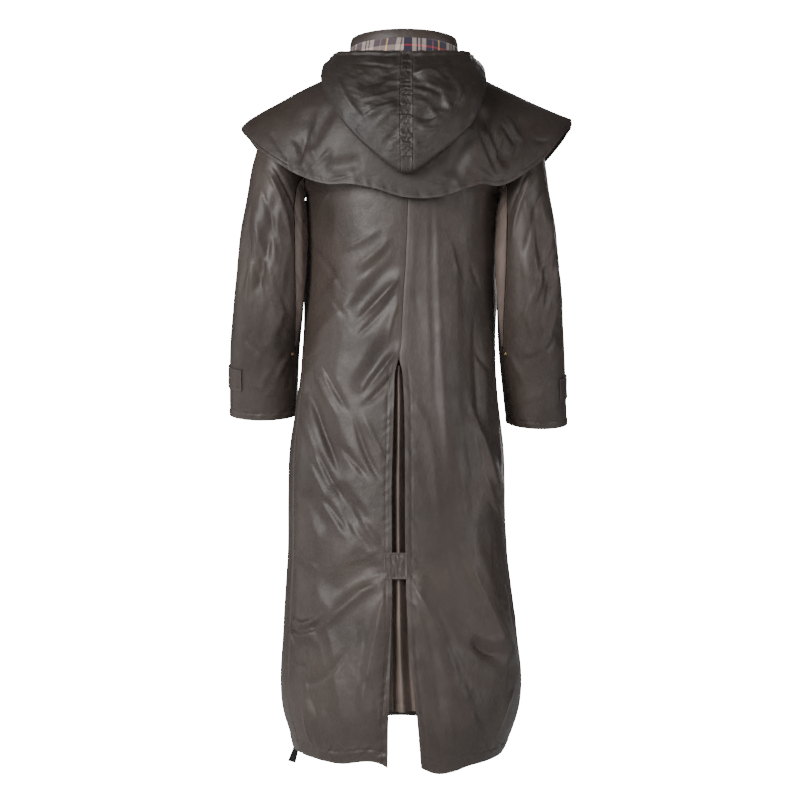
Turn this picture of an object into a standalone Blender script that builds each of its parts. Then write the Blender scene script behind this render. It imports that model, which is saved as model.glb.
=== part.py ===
"""A full-length hooded duster coat, filled out as worn with nobody in it, as cut and sewn cloth panels.

Metres, +Z up. The back of the coat faces -Y and the wearer's right arm is on +X. The origin is between the
shoulders, at the height of the side neck points, where the wearer carries the coat.
"""

import math
from collections import namedtuple

import bpy
import numpy as np

# Cloth and seams
CLOTH = 0.0016
THIN_CLOTH = 0.0010
SEAM = 0.0008
LAYER = 0.0004

SIGN = {"left": -1, "right": 1}

# Grid sizes of the panels
BACK_COLUMNS, BODY_ROWS, ARMHOLE_ROWS = 14, 30, 7
FRONT_COLUMNS, OVERLAP_COLUMNS = 9, 2
FLAP_COLUMNS = 4
GUSSET_ROWS = 12
SLEEVE_COLUMNS, SLEEVE_ROWS = 17, 20
CAPE_COLUMNS, CAPE_ROWS, CAPE_FRONT_COLUMNS = 42, 6, 14
HOOD_COLUMNS, HOOD_ROWS = 12, 19
COLLAR_COLUMNS = 24

# Neck ring and shoulder line of the body
NECK_HALF_WIDTH = 0.105
NECK_HALF_DEPTH = 0.078
NECK_SIDE_Z = -0.010
NECK_BACK_RISE = 0.010
NECK_FRONT_DROP = 0.065
SHOULDER_SLOPE = 0.50
SHOULDER_ROUNDING = 0.20

# Armhole: an upright ellipse at each side
ARMHOLE_TOP_Z = -0.056
ARMHOLE_BOTTOM_Z = -0.234
ARMHOLE_HALF_DEPTH = 0.078

# Body sections, from hem to shoulder. left and right are the reach along X, middle is where along Y the
# body is widest, back and front are the depths from there, and the seams are degrees from the centre back.
Section = namedtuple("Section", "z left right back front middle left_seam right_seam")
BODY = (
    Section(-1.300, -0.203, 0.176, 0.176, 0.176, 0.000, 63, 80),
    Section(-1.245, -0.214, 0.200, 0.182, 0.180, 0.000, 63, 80),
    Section(-1.195, -0.229, 0.216, 0.184, 0.180, 0.000, 64, 80),
    Section(-1.150, -0.232, 0.221, 0.182, 0.178, 0.000, 65, 80),
    Section(-1.060, -0.228, 0.213, 0.175, 0.172, 0.000, 66, 80),
    Section(-0.990, -0.224, 0.205, 0.170, 0.166, 0.000, 67, 80),
    Section(-0.910, -0.219, 0.195, 0.163, 0.160, 0.000, 68, 80),
    Section(-0.790, -0.218, 0.190, 0.154, 0.150, 0.000, 69, 81),
    Section(-0.720, -0.216, 0.188, 0.147, 0.147, -0.002, 70, 82),
    Section(-0.650, -0.2055, 0.180, 0.134, 0.148, -0.010, 72, 83),
    Section(-0.560, -0.1945, 0.173, 0.141, 0.130, 0.004, 76, 85),
    Section(-0.420, -0.1890, 0.1765, 0.175, 0.086, 0.042, 84, 88),
    Section(-0.300, -0.1885, 0.1785, 0.181, 0.084, 0.043, 90, 90),
    Section(-0.234, -0.1835, 0.1765, 0.152, 0.115, 0.012, 90, 90),
    Section(-0.145, -0.187, 0.184, 0.138, 0.120, 0.000, 90, 90),
    Section(-0.056, -0.195, 0.195, 0.134, 0.112, 0.000, 90, 90),
    Section(0.010, -0.195, 0.195, 0.134, 0.112, 0.000, 90, 90),
)
BODY_FULLNESS = 2.25

# Hem heights round the body, by degrees from the centre back
HemPoint = namedtuple("HemPoint", "degrees z")
HEM = (
    HemPoint(-180, -1.245),
    HemPoint(-130, -1.252),
    HemPoint(-95, -1.268),
    HemPoint(-70, -1.272),
    HemPoint(-40, -1.276),
    HemPoint(-4, -1.274),
    HemPoint(6, -1.288),
    HemPoint(40, -1.281),
    HemPoint(70, -1.276),
    HemPoint(95, -1.272),
    HemPoint(130, -1.258),
    HemPoint(180, -1.245),
)

# Centre back: one seam line down to the vent, then the two edges of the vent
CentrePoint = namedtuple("CentrePoint", "z left right")
CENTRE_BACK = (
    CentrePoint(-1.300, -0.0290, 0.0315),
    CentrePoint(-1.200, -0.0275, 0.0235),
    CentrePoint(-1.080, -0.0240, 0.0105),
    CentrePoint(-0.980, -0.0217, 0.0045),
    CentrePoint(-0.890, -0.0215, 0.0020),
    CentrePoint(-0.765, -0.0220, 0.0015),
    CentrePoint(-0.690, -0.0197, 0.0010),
    CentrePoint(-0.610, -0.0175, -0.0010),
    CentrePoint(-0.565, -0.0150, -0.0045),
    CentrePoint(-0.545, -0.0095, -0.0085),
    CentrePoint(-0.520, -0.0060, -0.0060),
    CentrePoint(-0.440, -0.0018, -0.0018),
    CentrePoint(-0.350, 0.0035, 0.0035),
    CentrePoint(-0.250, 0.0070, 0.0070),
    CentrePoint(0.020, 0.0070, 0.0070),
)
TAB_TOP_Z = -0.895
TAB_BOTTOM_Z = -0.942
TAB_LEFT_X = -0.0362
TAB_RIGHT_X = 0.0062
TAB_LIFT = 0.0012
GUSSET_TOP_Z = -0.556
GUSSET_HEM_Z = -1.180
GUSSET_SPREAD = 0.020
GUSSET_END_DEPTH = 0.0037
GUSSET_DEPTH = 0.030
GUSSET_RIDGE_DEPTH = 0.009

# Front closing
FRONT_OVERLAP = 0.034
FRONT_DROP = 0.0032
FRONT_RAMP_START = 0.041
FRONT_RAMP_END = 0.076
FLAP_HALF_WIDTH = 0.032
FLAP_LIFT = 0.0008

# Sleeve rings from the armhole to the cuff. outer and inner are the two ends of the ring in the X-Z
# plane, mirrored for the left arm; y and half_depth place it in depth; tilt is its slope along Y.
Ring = namedtuple("Ring", "outer_x outer_z inner_x inner_z y half_depth tilt")
SLEEVES = {
    "left": (
        Ring(0.1962, -0.0575, 0.1846, -0.2350, 0.000, 0.0780, 0.00),
        Ring(0.2360, -0.0790, 0.1876, -0.2440, -0.006, 0.0790, 0.00),
        Ring(0.2630, -0.1150, 0.1872, -0.2560, -0.013, 0.0800, 0.00),
        Ring(0.2830, -0.1750, 0.1860, -0.2740, -0.020, 0.0800, 0.00),
        Ring(0.2945, -0.2430, 0.1848, -0.3020, -0.025, 0.0780, 0.02),
        Ring(0.3065, -0.3110, 0.1846, -0.3420, -0.027, 0.0750, 0.04),
        Ring(0.3140, -0.3790, 0.1856, -0.3950, -0.025, 0.0710, 0.06),
        Ring(0.3205, -0.4470, 0.1892, -0.4550, -0.015, 0.0670, 0.10),
        Ring(0.3280, -0.5150, 0.1965, -0.5200, 0.004, 0.0610, 0.16),
        Ring(0.3310, -0.5830, 0.2010, -0.5860, 0.028, 0.0560, 0.22),
        Ring(0.3330, -0.6460, 0.2030, -0.6460, 0.044, 0.0530, 0.25),
    ),
    "right": (
        Ring(0.1962, -0.0575, 0.1777, -0.2350, 0.000, 0.0780, 0.00),
        Ring(0.2320, -0.0790, 0.1798, -0.2440, -0.006, 0.0790, 0.00),
        Ring(0.2520, -0.1150, 0.1785, -0.2560, -0.013, 0.0800, 0.00),
        Ring(0.2650, -0.1750, 0.1765, -0.2740, -0.020, 0.0800, 0.00),
        Ring(0.2735, -0.2430, 0.1750, -0.3020, -0.025, 0.0780, 0.02),
        Ring(0.2845, -0.3110, 0.1742, -0.3420, -0.027, 0.0750, 0.04),
        Ring(0.2920, -0.3790, 0.1736, -0.3950, -0.025, 0.0710, 0.06),
        Ring(0.2970, -0.4470, 0.1745, -0.4550, -0.015, 0.0670, 0.10),
        Ring(0.3025, -0.5150, 0.1780, -0.5200, 0.004, 0.0610, 0.16),
        Ring(0.3070, -0.5830, 0.1855, -0.5860, 0.028, 0.0560, 0.22),
        Ring(0.3120, -0.6640, 0.1945, -0.6610, 0.048, 0.0530, 0.24),
    ),
}
UNDERARM_HALF_ANGLE = 48
UNDERARM_TIP_ANGLE = 2.5
UNDERARM_TURN = 24
UNDERARM_END = 0.80
UNDERARM_TIP_GAP = 0.006
UNDERARM_EASE = 0.018
RIVET_TURN = 0.20
RIVET_LIFT = -0.0006
RIVET_RADIUS = 0.0032
RIVET_HEIGHT = 0.0020
CUFF_TAB_LIFT = 0.0012
STUD_RADIUS = 0.0070
STUD_HEIGHT = 0.0024
CuffTab = namedtuple("CuffTab", "row half_width from_degrees to_degrees")
CUFF_TABS = {
    "left": CuffTab(0.886, 0.029, 88, -54),
    "right": CuffTab(0.912, 0.026, 88, -42),
}

# Cape: back piece and two fronts, joined along the shoulder. ridge and edge are the heights of the
# shoulder line and of the lower edge, and depth is how far the edge stands from the middle plane.
CapePoint = namedtuple("CapePoint", "x ridge edge depth")
CAPE_BACK = (
    CapePoint(-0.3060, -0.1040, -0.1130, 0.008),
    CapePoint(-0.2960, -0.0955, -0.1270, 0.046),
    CapePoint(-0.2700, -0.0790, -0.1560, 0.080),
    CapePoint(-0.2330, -0.0590, -0.1850, 0.104),
    CapePoint(-0.1960, -0.0385, -0.2080, 0.118),
    CapePoint(-0.1730, -0.0275, -0.2190, 0.132),
    CapePoint(-0.1380, -0.0120, -0.2290, 0.145),
    CapePoint(-0.1023, 0.0020, -0.2295, 0.154),
    CapePoint(-0.0560, 0.0075, -0.2380, 0.160),
    CapePoint(0.0000, 0.0090, -0.2545, 0.162),
    CapePoint(0.0680, 0.0065, -0.2530, 0.160),
    CapePoint(0.1147, -0.0010, -0.2370, 0.154),
    CapePoint(0.1428, -0.0135, -0.2290, 0.147),
    CapePoint(0.1700, -0.0270, -0.2320, 0.136),
    CapePoint(0.1900, -0.0360, -0.2250, 0.122),
    CapePoint(0.2260, -0.0530, -0.2020, 0.108),
    CapePoint(0.2600, -0.0680, -0.1740, 0.086),
    CapePoint(0.2900, -0.0805, -0.1340, 0.056),
    CapePoint(0.3160, -0.0900, -0.1020, 0.008),
)
CapeFrontPoint = namedtuple("CapeFrontPoint", "share edge depth")
CAPE_FRONT = (
    CapeFrontPoint(0.00, -0.275, 0.142),
    CapeFrontPoint(0.13, -0.274, 0.142),
    CapeFrontPoint(0.29, -0.265, 0.137),
    CapeFrontPoint(0.43, -0.248, 0.129),
    CapeFrontPoint(0.61, -0.219, 0.114),
    CapeFrontPoint(0.74, -0.190, 0.098),
    CapeFrontPoint(0.87, -0.156, 0.073),
    CapeFrontPoint(0.95, -0.128, 0.044),
    CapeFrontPoint(1.00, -0.106, 0.008),
)
CAPE_FRONT_EDGE = 0.024
CAPE_ROUNDING = 0.17
CAPE_NECK_GAP = 0.0050

# Collar, standing up
COLLAR_WALL = 0.0020
COLLAR_SEAT = 0.0024
COLLAR_TOP_BACK_Z = 0.0670
COLLAR_TOP_SIDE_Z = 0.0570
COLLAR_TOP_FRONT_Z = -0.0150
COLLAR_LEAN = 0.0070
COLLAR_END_DEGREES = 166
COLLAR_LAYER = 0.0007
BAND_SHARE = 0.74

# Hood, hanging down the back. For each angle round the neck: the rim, the outer bulge and the fold
# where the outer layer turns under.
HoodLine = namedtuple("HoodLine", "degrees rim_x rim_y rim_z fold_x fold_y fold_z bulge")
HOOD = (
    HoodLine(-160, -0.046, 0.098, -0.032, -0.050, 0.106, -0.048, 0.002),
    HoodLine(-125, -0.106, 0.078, 0.008, -0.116, 0.086, -0.010, 0.003),
    HoodLine(-90, -0.129, 0.018, 0.024, -0.150, 0.020, 0.005, 0.002),
    HoodLine(-62, -0.128, -0.062, 0.022, -0.147, -0.092, -0.052, 0.010),
    HoodLine(-42, -0.108, -0.112, 0.018, -0.112, -0.155, -0.114, 0.016),
    HoodLine(-22, -0.058, -0.136, 0.014, -0.060, -0.178, -0.166, 0.020),
    HoodLine(0, 0.004, -0.142, 0.012, 0.004, -0.186, -0.204, 0.022),
    HoodLine(22, 0.062, -0.136, 0.014, 0.068, -0.178, -0.168, 0.020),
    HoodLine(42, 0.106, -0.112, 0.018, 0.122, -0.153, -0.120, 0.016),
    HoodLine(62, 0.124, -0.062, 0.022, 0.147, -0.092, -0.060, 0.010),
    HoodLine(90, 0.121, 0.018, 0.024, 0.148, 0.020, 0.005, 0.002),
    HoodLine(125, 0.104, 0.078, 0.008, 0.114, 0.086, -0.010, 0.003),
    HoodLine(160, 0.046, 0.098, -0.032, 0.050, 0.106, -0.048, 0.002),
)
HOOD_CLOTH = 0.0014
HOOD_TURN = 0.0100
HOOD_NECK_GAP = 0.0070
HOOD_CLEARANCE = 0.0102
HOOD_SHOULDER_DEGREES = 73
HOOD_INNER_SHARE = 0.40
HOOD_OUTER_SHARE = 0.52
HOOD_SEAM_DEGREES = 0.36
STRIP_HALF_DEGREES = 3.5

# Leg strap inside the hem
STRAP_WIDTH = 0.018
STRAP_THICKNESS = 0.0018
STRAP_Y = -0.012
STRAP_TOP_X = -0.1965
STRAP_END_X = -0.212
STRAP_TOP_Z = -1.215
STRAP_END_Z = -1.300
STRAP_TWIST = 0.012
STRAP_SLANT = 0.008

# Largest creases. A crease runs from (x0, z0) to (x1, z1) as seen square on; left and right are how far
# it fades out on either side, and height is positive for a ridge and negative for a trough.
Crease = namedtuple("Crease", "x0 z0 x1 z1 left right height")
BACK_CREASES = (
    Crease(-0.015, -0.360, -0.100, -0.470, 0.026, 0.030, -0.0075),
    Crease(-0.012, -0.495, -0.092, -0.615, 0.030, 0.024, -0.0085),
    Crease(-0.190, -0.570, -0.105, -0.770, 0.024, 0.034, -0.0085),
    Crease(-0.132, -0.770, -0.070, -0.855, 0.026, 0.028, -0.0080),
    Crease(-0.185, -0.780, -0.130, -0.870, 0.026, 0.026, -0.0060),
    Crease(-0.040, -0.905, -0.150, -0.985, 0.050, 0.034, -0.0090),
    Crease(-0.160, -1.040, -0.210, -1.055, 0.030, 0.026, 0.0080),
    Crease(-0.030, -0.950, -0.062, -1.240, 0.036, 0.040, 0.0080),
    Crease(0.062, -0.270, 0.095, -0.800, 0.060, 0.045, 0.0070),
    Crease(0.125, -0.640, 0.180, -0.810, 0.034, 0.024, 0.0070),
    Crease(0.128, -0.870, 0.195, -1.120, 0.040, 0.026, 0.0075),
    Crease(0.012, -0.930, 0.110, -1.200, 0.034, 0.036, 0.0080),
    Crease(0.118, -1.050, 0.190, -1.100, 0.026, 0.024, -0.0075),
)
FRONT_CREASES = (
    Crease(-0.150, -0.300, -0.100, -0.620, 0.036, 0.040, 0.0065),
    Crease(-0.170, -0.620, -0.120, -0.900, 0.034, 0.040, -0.0070),
    Crease(-0.110, -0.800, -0.140, -1.230, 0.040, 0.044, 0.0085),
    Crease(0.140, -0.320, 0.085, -0.560, 0.036, 0.036, -0.0065),
    Crease(0.095, -0.640, 0.120, -1.230, 0.044, 0.044, 0.0085),
    Crease(0.170, -0.740, 0.165, -1.050, 0.034, 0.034, -0.0070),
)
SLEEVE_CREASES = (
    Crease(0.262, -0.220, 0.290, -0.480, 0.014, 0.016, 0.0050),
    Crease(0.232, -0.230, 0.268, -0.430, 0.014, 0.016, -0.0050),
    Crease(0.222, -0.330, 0.250, -0.560, 0.018, 0.018, 0.0045),
)
CAPE_CREASES = (
    Crease(-0.193, -0.196, -0.170, -0.080, 0.016, 0.030, -0.0090),
    Crease(-0.180, -0.170, -0.130, -0.080, 0.022, 0.026, -0.0060),
    Crease(-0.145, -0.200, -0.072, -0.190, 0.022, 0.020, -0.0050),
    Crease(0.188, -0.206, 0.140, -0.080, 0.022, 0.030, -0.0100),
    Crease(0.190, -0.200, 0.226, -0.090, 0.022, 0.024, -0.0055),
    Crease(0.082, -0.225, 0.125, -0.130, 0.024, 0.026, -0.0070),
)
HOOD_CREASES = (
    Crease(-0.010, -0.020, -0.085, -0.060, 0.020, 0.022, -0.0055),
    Crease(-0.008, -0.090, -0.075, -0.105, 0.020, 0.022, 0.0050),
    Crease(0.018, -0.040, 0.085, -0.010, 0.020, 0.022, 0.0055),
    Crease(0.018, -0.120, 0.080, -0.085, 0.022, 0.022, -0.0055),
)

# Materials: colour, roughness, metallic
Finish = namedtuple("Finish", "colour roughness metallic")
FINISHES = {
    "brown_nylon": Finish((0.052, 0.042, 0.038, 1.0), 0.48, 0.0),
    "check_cotton": Finish((0.075, 0.060, 0.085, 1.0), 0.90, 0.0),
    "webbing": Finish((0.008, 0.008, 0.008, 1.0), 0.80, 0.0),
    "brass": Finish((0.450, 0.330, 0.140, 1.0), 0.35, 1.0),
    "snap_metal": Finish((0.055, 0.046, 0.040, 1.0), 0.40, 1.0),
}


def curve(keys, values, at):
    """A smooth curve through (key, value) points, read at the given places."""
    keys, values = np.asarray(keys, float), np.asarray(values, float)
    slopes = np.gradient(values, keys, axis=0)
    at = np.clip(at, keys[0], keys[-1])
    i = np.clip(np.searchsorted(keys, at) - 1, 0, len(keys) - 2)
    span = keys[i + 1] - keys[i]
    s = (at - keys[i]) / span
    if values.ndim == 2:
        s, span = s[..., None], span[..., None]
    start = (1 + 2 * s) * (1 - s) ** 2 * values[i] + s * (1 - s) ** 2 * span * slopes[i]
    end = s**2 * (3 - 2 * s) * values[i + 1] + s**2 * (s - 1) * span * slopes[i + 1]
    return start + end


def column(table, name, at, key=None):
    """One named column of a table, as a smooth curve over its first column or the one that key names."""
    keys = [getattr(row, key) if key else row[0] for row in table]
    return curve(keys, [getattr(row, name) for row in table], at)


def fade(distance, reach):
    """1 at distance 0, falling smoothly to 0 at reach."""
    q = np.clip(np.abs(distance) / reach, 0, 1)
    return (1 - q) ** 2 * (1 + 2 * q)


def crease_height(creases, x, z):
    """The sum of all creases at the points (x, z)."""
    height = np.zeros(np.broadcast(x, z).shape)
    for c in creases:
        length = math.hypot(c.x1 - c.x0, c.z1 - c.z0)
        along_x, along_z = (c.x1 - c.x0) / length, (c.z1 - c.z0) / length
        along = ((x - c.x0) * along_x + (z - c.z0) * along_z) / length
        across = (x - c.x0) * -along_z + (z - c.z0) * along_x
        ends = np.clip(along * (1 - along) * 5, 0, 1)
        sides = np.where(across < 0, fade(across, c.left), fade(across, c.right))
        height = height + c.height * sides * ends * ends * (3 - 2 * ends)
    return height


def grid_normals(points):
    """Unit normals of a grid of points, along (second axis) x (first axis)."""
    along_u = np.gradient(points, axis=1)
    along_v = np.gradient(points, axis=0)
    normals = np.cross(along_u, along_v)
    return normals / np.maximum(np.linalg.norm(normals, axis=2, keepdims=True), 1e-12)


def raised(points, heights):
    """The grid moved out along its normals."""
    return points + grid_normals(points) * np.broadcast_to(heights, points.shape[:2])[..., None]


def round_power(value, fullness):
    """Signed power that turns a circle's sine or cosine into a fuller oval's."""
    return np.sign(value) * np.abs(value) ** (2 / fullness)


def smooth(value):
    """An S-shaped ramp from 0 to 1."""
    value = np.clip(value, 0, 1)
    return value * value * (3 - 2 * value)


def shoulder_top(x, front):
    """Height and depth of the upper edge of the body at x: the neck ring, then the shoulder line."""
    inside = np.clip(1 - (x / NECK_HALF_WIDTH) ** 2, 0, 1)
    lift = np.where(front, -NECK_FRONT_DROP, NECK_BACK_RISE) * inside
    line = -SHOULDER_SLOPE * np.clip(np.abs(x) - NECK_HALF_WIDTH, 0, None)
    return NECK_SIDE_Z + lift + line, NECK_HALF_DEPTH * np.sqrt(inside)


def body_reach(x_sign, z):
    """How far the body reaches along X at z, as a positive length."""
    return np.where(x_sign > 0, column(BODY, "right", z), -column(BODY, "left", z))


def body_base(theta, z):
    """The body without creases. theta is in radians from the centre back, positive towards +X."""
    front = np.abs(theta) > math.pi / 2
    depth = np.where(front, column(BODY, "front", z), column(BODY, "back", z))
    middle = (ARMHOLE_TOP_Z + ARMHOLE_BOTTOM_Z) / 2
    half = (ARMHOLE_TOP_Z - ARMHOLE_BOTTOM_Z) / 2
    arm = ARMHOLE_HALF_DEPTH * np.sqrt(np.clip(1 - ((z - middle) / half) ** 2, 0, 1))
    x = body_reach(theta, z) * round_power(np.sin(theta), BODY_FULLNESS)
    across = np.abs(round_power(np.cos(theta), BODY_FULLNESS))
    top_z, top_y = shoulder_top(x, front)
    share = np.clip((top_z - z) / SHOULDER_ROUNDING, 0, 1)
    centre = top_y + (depth - top_y) * np.sqrt(1 - (1 - share) ** 2)
    y = arm * (1 - across) + centre * across
    middle_y = column(BODY, "middle", z)
    return np.stack([x, middle_y + np.where(front, y, -y), z + 0 * x], axis=-1)


def body_creases(points):
    """Crease heights on the body: the back's own behind, the front's own ahead."""
    x, y, z = points[..., 0], points[..., 1], points[..., 2]
    behind = smooth(0.5 - y / 0.10)
    near_armhole = smooth((ARMHOLE_BOTTOM_Z - 0.02 - z) / 0.05)
    away = smooth((body_reach(x, z) - np.abs(x)) / 0.05)
    quiet = np.maximum(near_armhole, away)
    return (crease_height(BACK_CREASES, x, z) * behind + crease_height(FRONT_CREASES, x, z) * (1 - behind)) * quiet


def body_angle(x, z, front):
    """The angle at which the body section at z reaches x."""
    share = np.clip(np.abs(x) / body_reach(x, z), 0, 1)
    angle = np.arcsin(share ** (BODY_FULLNESS / 2))
    return np.sign(x) * np.where(front, math.pi - angle, angle)


def side_seam(side, z):
    """Signed angle of a side seam, in radians."""
    return np.radians(column(BODY, f"{side}_seam", z)) * SIGN[side]


def base_normals(theta, z, outward_sign):
    """Normals of the smooth body, from small steps along it."""
    step_theta, step_z = 0.02, 0.004
    inner = np.clip(np.abs(theta), step_theta, math.pi - step_theta)
    kept = np.where(theta < 0, -inner, inner)
    kept = np.where(np.abs(kept) > math.pi / 2, kept + np.sign(kept) * step_theta, kept - np.sign(kept) * step_theta)
    kept = np.clip(kept, -math.pi + step_theta, math.pi - step_theta)
    along_u = body_base(kept + step_theta / 2, z) - body_base(kept - step_theta / 2, z)
    along_v = body_base(kept, z + step_z) - body_base(kept, z - step_z)
    normals = np.cross(along_u, along_v) * outward_sign
    return normals / np.maximum(np.linalg.norm(normals, axis=-1, keepdims=True), 1e-12)


def body_cloth(theta, z, lift=0.0):
    """Points of the creased body, moved out by lift."""
    base = body_base(theta, z)
    normals = base_normals(theta, z, 1.0)
    return base + normals * (body_creases(base) + lift)[..., None]


def body_rows(rows, armhole_rows, theta, front):
    """Heights of the rows of one column: even from hem to armhole, then even up to the shoulder."""
    x = body_base(np.array(theta), np.array(ARMHOLE_TOP_Z))[0]
    top = float(shoulder_top(x, front)[0])
    hem = float(column(HEM, "z", np.degrees(theta)))
    low = np.linspace(hem, ARMHOLE_BOTTOM_Z, rows - armhole_rows + 1)
    high = np.linspace(ARMHOLE_BOTTOM_Z, top, armhole_rows + 1)[1:]
    return np.concatenate([low, high])


def body_panel(side, front, columns, rows, armhole_rows):
    """Grid of a back or front panel, from its centre edge to its side seam."""
    sign = SIGN[side]
    grid = np.zeros((rows + 1, columns + 1, 3))
    for i, share in enumerate(np.linspace(0, 1, columns + 1)):
        nominal = sign * math.pi / 2 * ((2 - share) if front else share)
        z = body_rows(rows, armhole_rows, nominal, front)
        half_seam = SEAM / 2 / body_reach(sign, z) * sign
        seam = side_seam(side, z)
        if front:
            start = body_angle(np.full_like(z, sign * 1e-6), z, True)
            theta = start + (seam + half_seam - start) * share
        else:
            edge = column(CENTRE_BACK, side, z) + sign * SEAM / 2
            start = body_angle(edge, z, False)
            theta = start + (seam - half_seam - start) * share
        grid[:, i] = body_cloth(theta, z)
    return grid


def front_strip(side, columns, rows, armhole_rows):
    """The overlap of a front, past the centre line, as extra columns before its panel."""
    sign = SIGN[side]
    grid = np.zeros((rows + 1, columns, 3))
    for i in range(columns):
        x = -sign * FRONT_OVERLAP * (1 - i / columns)
        nominal = math.pi * (1 if x > 0 else -1)
        z = body_rows(rows, armhole_rows, nominal, True)
        top = float(shoulder_top(np.array(x), True)[0])
        z = z + (top - z[-1]) * smooth((z - ARMHOLE_BOTTOM_Z) / (z[-1] - ARMHOLE_BOTTOM_Z))
        grid[:, i] = body_cloth(body_angle(np.full_like(z, x), z, True), z)
    return grid


def sleeve_point(side, row, phi):
    """A point of the sleeve. row runs 0 to 1 down the arm; phi is 0 outside, pi inside, -pi/2 behind."""
    rings = SLEEVES[side]
    at = np.asarray(row, float) * (len(rings) - 1)
    keys = np.arange(len(rings))
    read = {name: curve(keys, [getattr(ring, name) for ring in rings], at) for name in Ring._fields}
    half_x = (read["outer_x"] - read["inner_x"]) / 2
    half_z = (read["outer_z"] - read["inner_z"]) / 2
    along, ahead = np.cos(phi), np.sin(phi)
    x = (read["outer_x"] + read["inner_x"]) / 2 + half_x * along
    y = read["y"] + read["half_depth"] * ahead
    z = (read["outer_z"] + read["inner_z"]) / 2 + half_z * along + read["tilt"] * read["half_depth"] * ahead
    return np.stack([x * SIGN[side], y, z], axis=-1)


def sleeve_cloth(side, row, phi, lift=0.0):
    """Creased sleeve surface, moved out by lift."""
    row, phi = np.broadcast_arrays(np.asarray(row, float), np.asarray(phi, float))
    step = 0.01
    base = sleeve_point(side, row, phi)
    along_u = sleeve_point(side, row, phi + step) - sleeve_point(side, row, phi - step)
    low, high = np.clip(row - step, 0, 1), np.clip(row + step, 0, 1)
    along_v = sleeve_point(side, high, phi) - sleeve_point(side, low, phi)
    normals = np.cross(along_v, along_u) * SIGN[side]
    normals = normals / np.maximum(np.linalg.norm(normals, axis=-1, keepdims=True), 1e-12)
    ends = smooth(row / 0.12) * smooth((1 - row) / 0.10)
    behind = smooth(0.5 - np.sin(phi))
    creases = crease_height(SLEEVE_CREASES, np.abs(base[..., 0]), base[..., 2]) * (0.35 + 0.65 * behind)
    return base + normals * (creases * ends + lift)[..., None]


def underarm_half(row):
    """Half angle of the underarm piece: widest at the armhole, a point at its lower end."""
    share = np.clip(np.asarray(row, float) / UNDERARM_END, 0, 1)
    return np.radians(UNDERARM_TIP_ANGLE + (UNDERARM_HALF_ANGLE - UNDERARM_TIP_ANGLE) * (1 - share**1.6))


def underarm_middle(row):
    """Angle of the underarm piece's middle line, turned a little to the back towards its point."""
    return -math.pi + np.radians(UNDERARM_TURN) * smooth(np.asarray(row, float) / UNDERARM_END)


def sleeve_grid(side, columns, rows):
    """Top sleeve, from the back seam of the underarm piece over the outside to its front seam."""
    row = np.linspace(0, 1, rows + 1)
    gap = SEAM / 2 / 0.045
    half = np.where(row < UNDERARM_END + 1e-9, underarm_half(row), 0) + gap
    half = np.where(row > UNDERARM_END, gap, half)
    start = underarm_middle(row) + half
    end = underarm_middle(row) + 2 * math.pi - half
    share = np.linspace(0, 1, columns + 1)
    phi = start[:, None] + (end - start)[:, None] * share[None, :]
    return sleeve_cloth(side, row[:, None], phi)


def underarm_grid(side, columns, rows):
    """Underarm piece, inside the opening of the top sleeve."""
    row = np.linspace(0, UNDERARM_END, rows + 1)
    row[-1] = row[-1] - UNDERARM_TIP_GAP
    half = underarm_half(row) - SEAM / 2 / 0.045 - UNDERARM_EASE * (1 - row)
    share = np.linspace(-1, 1, columns + 1)
    phi = underarm_middle(row)[:, None] + half[:, None] * share[None, :]
    return sleeve_cloth(side, row[:, None], phi)


def cape_neck(x):
    """Half depth of the cape's neck ring at x, 0 beside it."""
    ring_x, ring_y = NECK_HALF_WIDTH + CAPE_NECK_GAP, NECK_HALF_DEPTH + CAPE_NECK_GAP
    return ring_y * np.sqrt(np.clip(1 - (x / ring_x) ** 2, 0, 1))


def cape_ridge(x, front):
    """Height of the cape's upper line: the shoulder beside the neck, the neck edge within it."""
    inside = np.clip(1 - (x / (NECK_HALF_WIDTH + CAPE_NECK_GAP)) ** 2, 0, 1)
    back = column(CAPE_BACK, "ridge", x)
    side = column(CAPE_BACK, "ridge", np.sign(x) * (NECK_HALF_WIDTH + CAPE_NECK_GAP))
    ahead = np.where(inside > 0, side - NECK_FRONT_DROP * inside, back)
    return ahead if front else back


def rounding(drop):
    """How far out a cape section has come after a drop below its upper line, 0 to 1."""
    share = np.clip(drop / CAPE_ROUNDING, 0, 1)
    return np.sqrt(1 - (1 - share) ** 2)


def cape_edge(x, front):
    """Height and depth of the cape's lower edge at x."""
    if not front:
        return column(CAPE_BACK, "edge", x), column(CAPE_BACK, "depth", x)
    share = front_share(x)
    return column(CAPE_FRONT, "edge", share), column(CAPE_FRONT, "depth", share)


def front_share(x):
    """How far x is from the front edge of the cape to its tip, 0 to 1."""
    tip = np.where(x > 0, CAPE_BACK[-1].x, -CAPE_BACK[0].x)
    return np.clip((np.abs(x) - CAPE_FRONT_EDGE) / (tip - CAPE_FRONT_EDGE), 0, 1)


def cape_depth(x, z, front):
    """Depth of the cape's surface from the middle plane at x and height z."""
    ridge = cape_ridge(x, front)
    edge, depth = cape_edge(x, front)
    reached = rounding(ridge - z) / np.maximum(rounding(ridge - edge), 1e-6)
    return cape_neck(x) + (depth - cape_neck(x)) * reached


def cape_grid(x, rows, front, outward):
    """Grid of a cape piece over the given columns, from the upper line down to the edge."""
    share = np.linspace(0, 1, rows + 1) ** 1.5
    ridge = cape_ridge(x, front)
    edge = cape_edge(x, front)[0]
    z = ridge[None, :] + (edge - ridge)[None, :] * share[:, None]
    columns = np.broadcast_to(x, z.shape)
    depth = cape_depth(columns, z, front)
    base = np.stack([columns, depth if front else -depth, z], axis=-1)
    normals = grid_normals(base) * outward
    fading = smooth((ridge[None, :] - z) / 0.03)
    creases = crease_height(CAPE_CREASES, columns, z) * fading * (0.6 if front else 1.0)
    return base + normals * creases[..., None]


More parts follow.
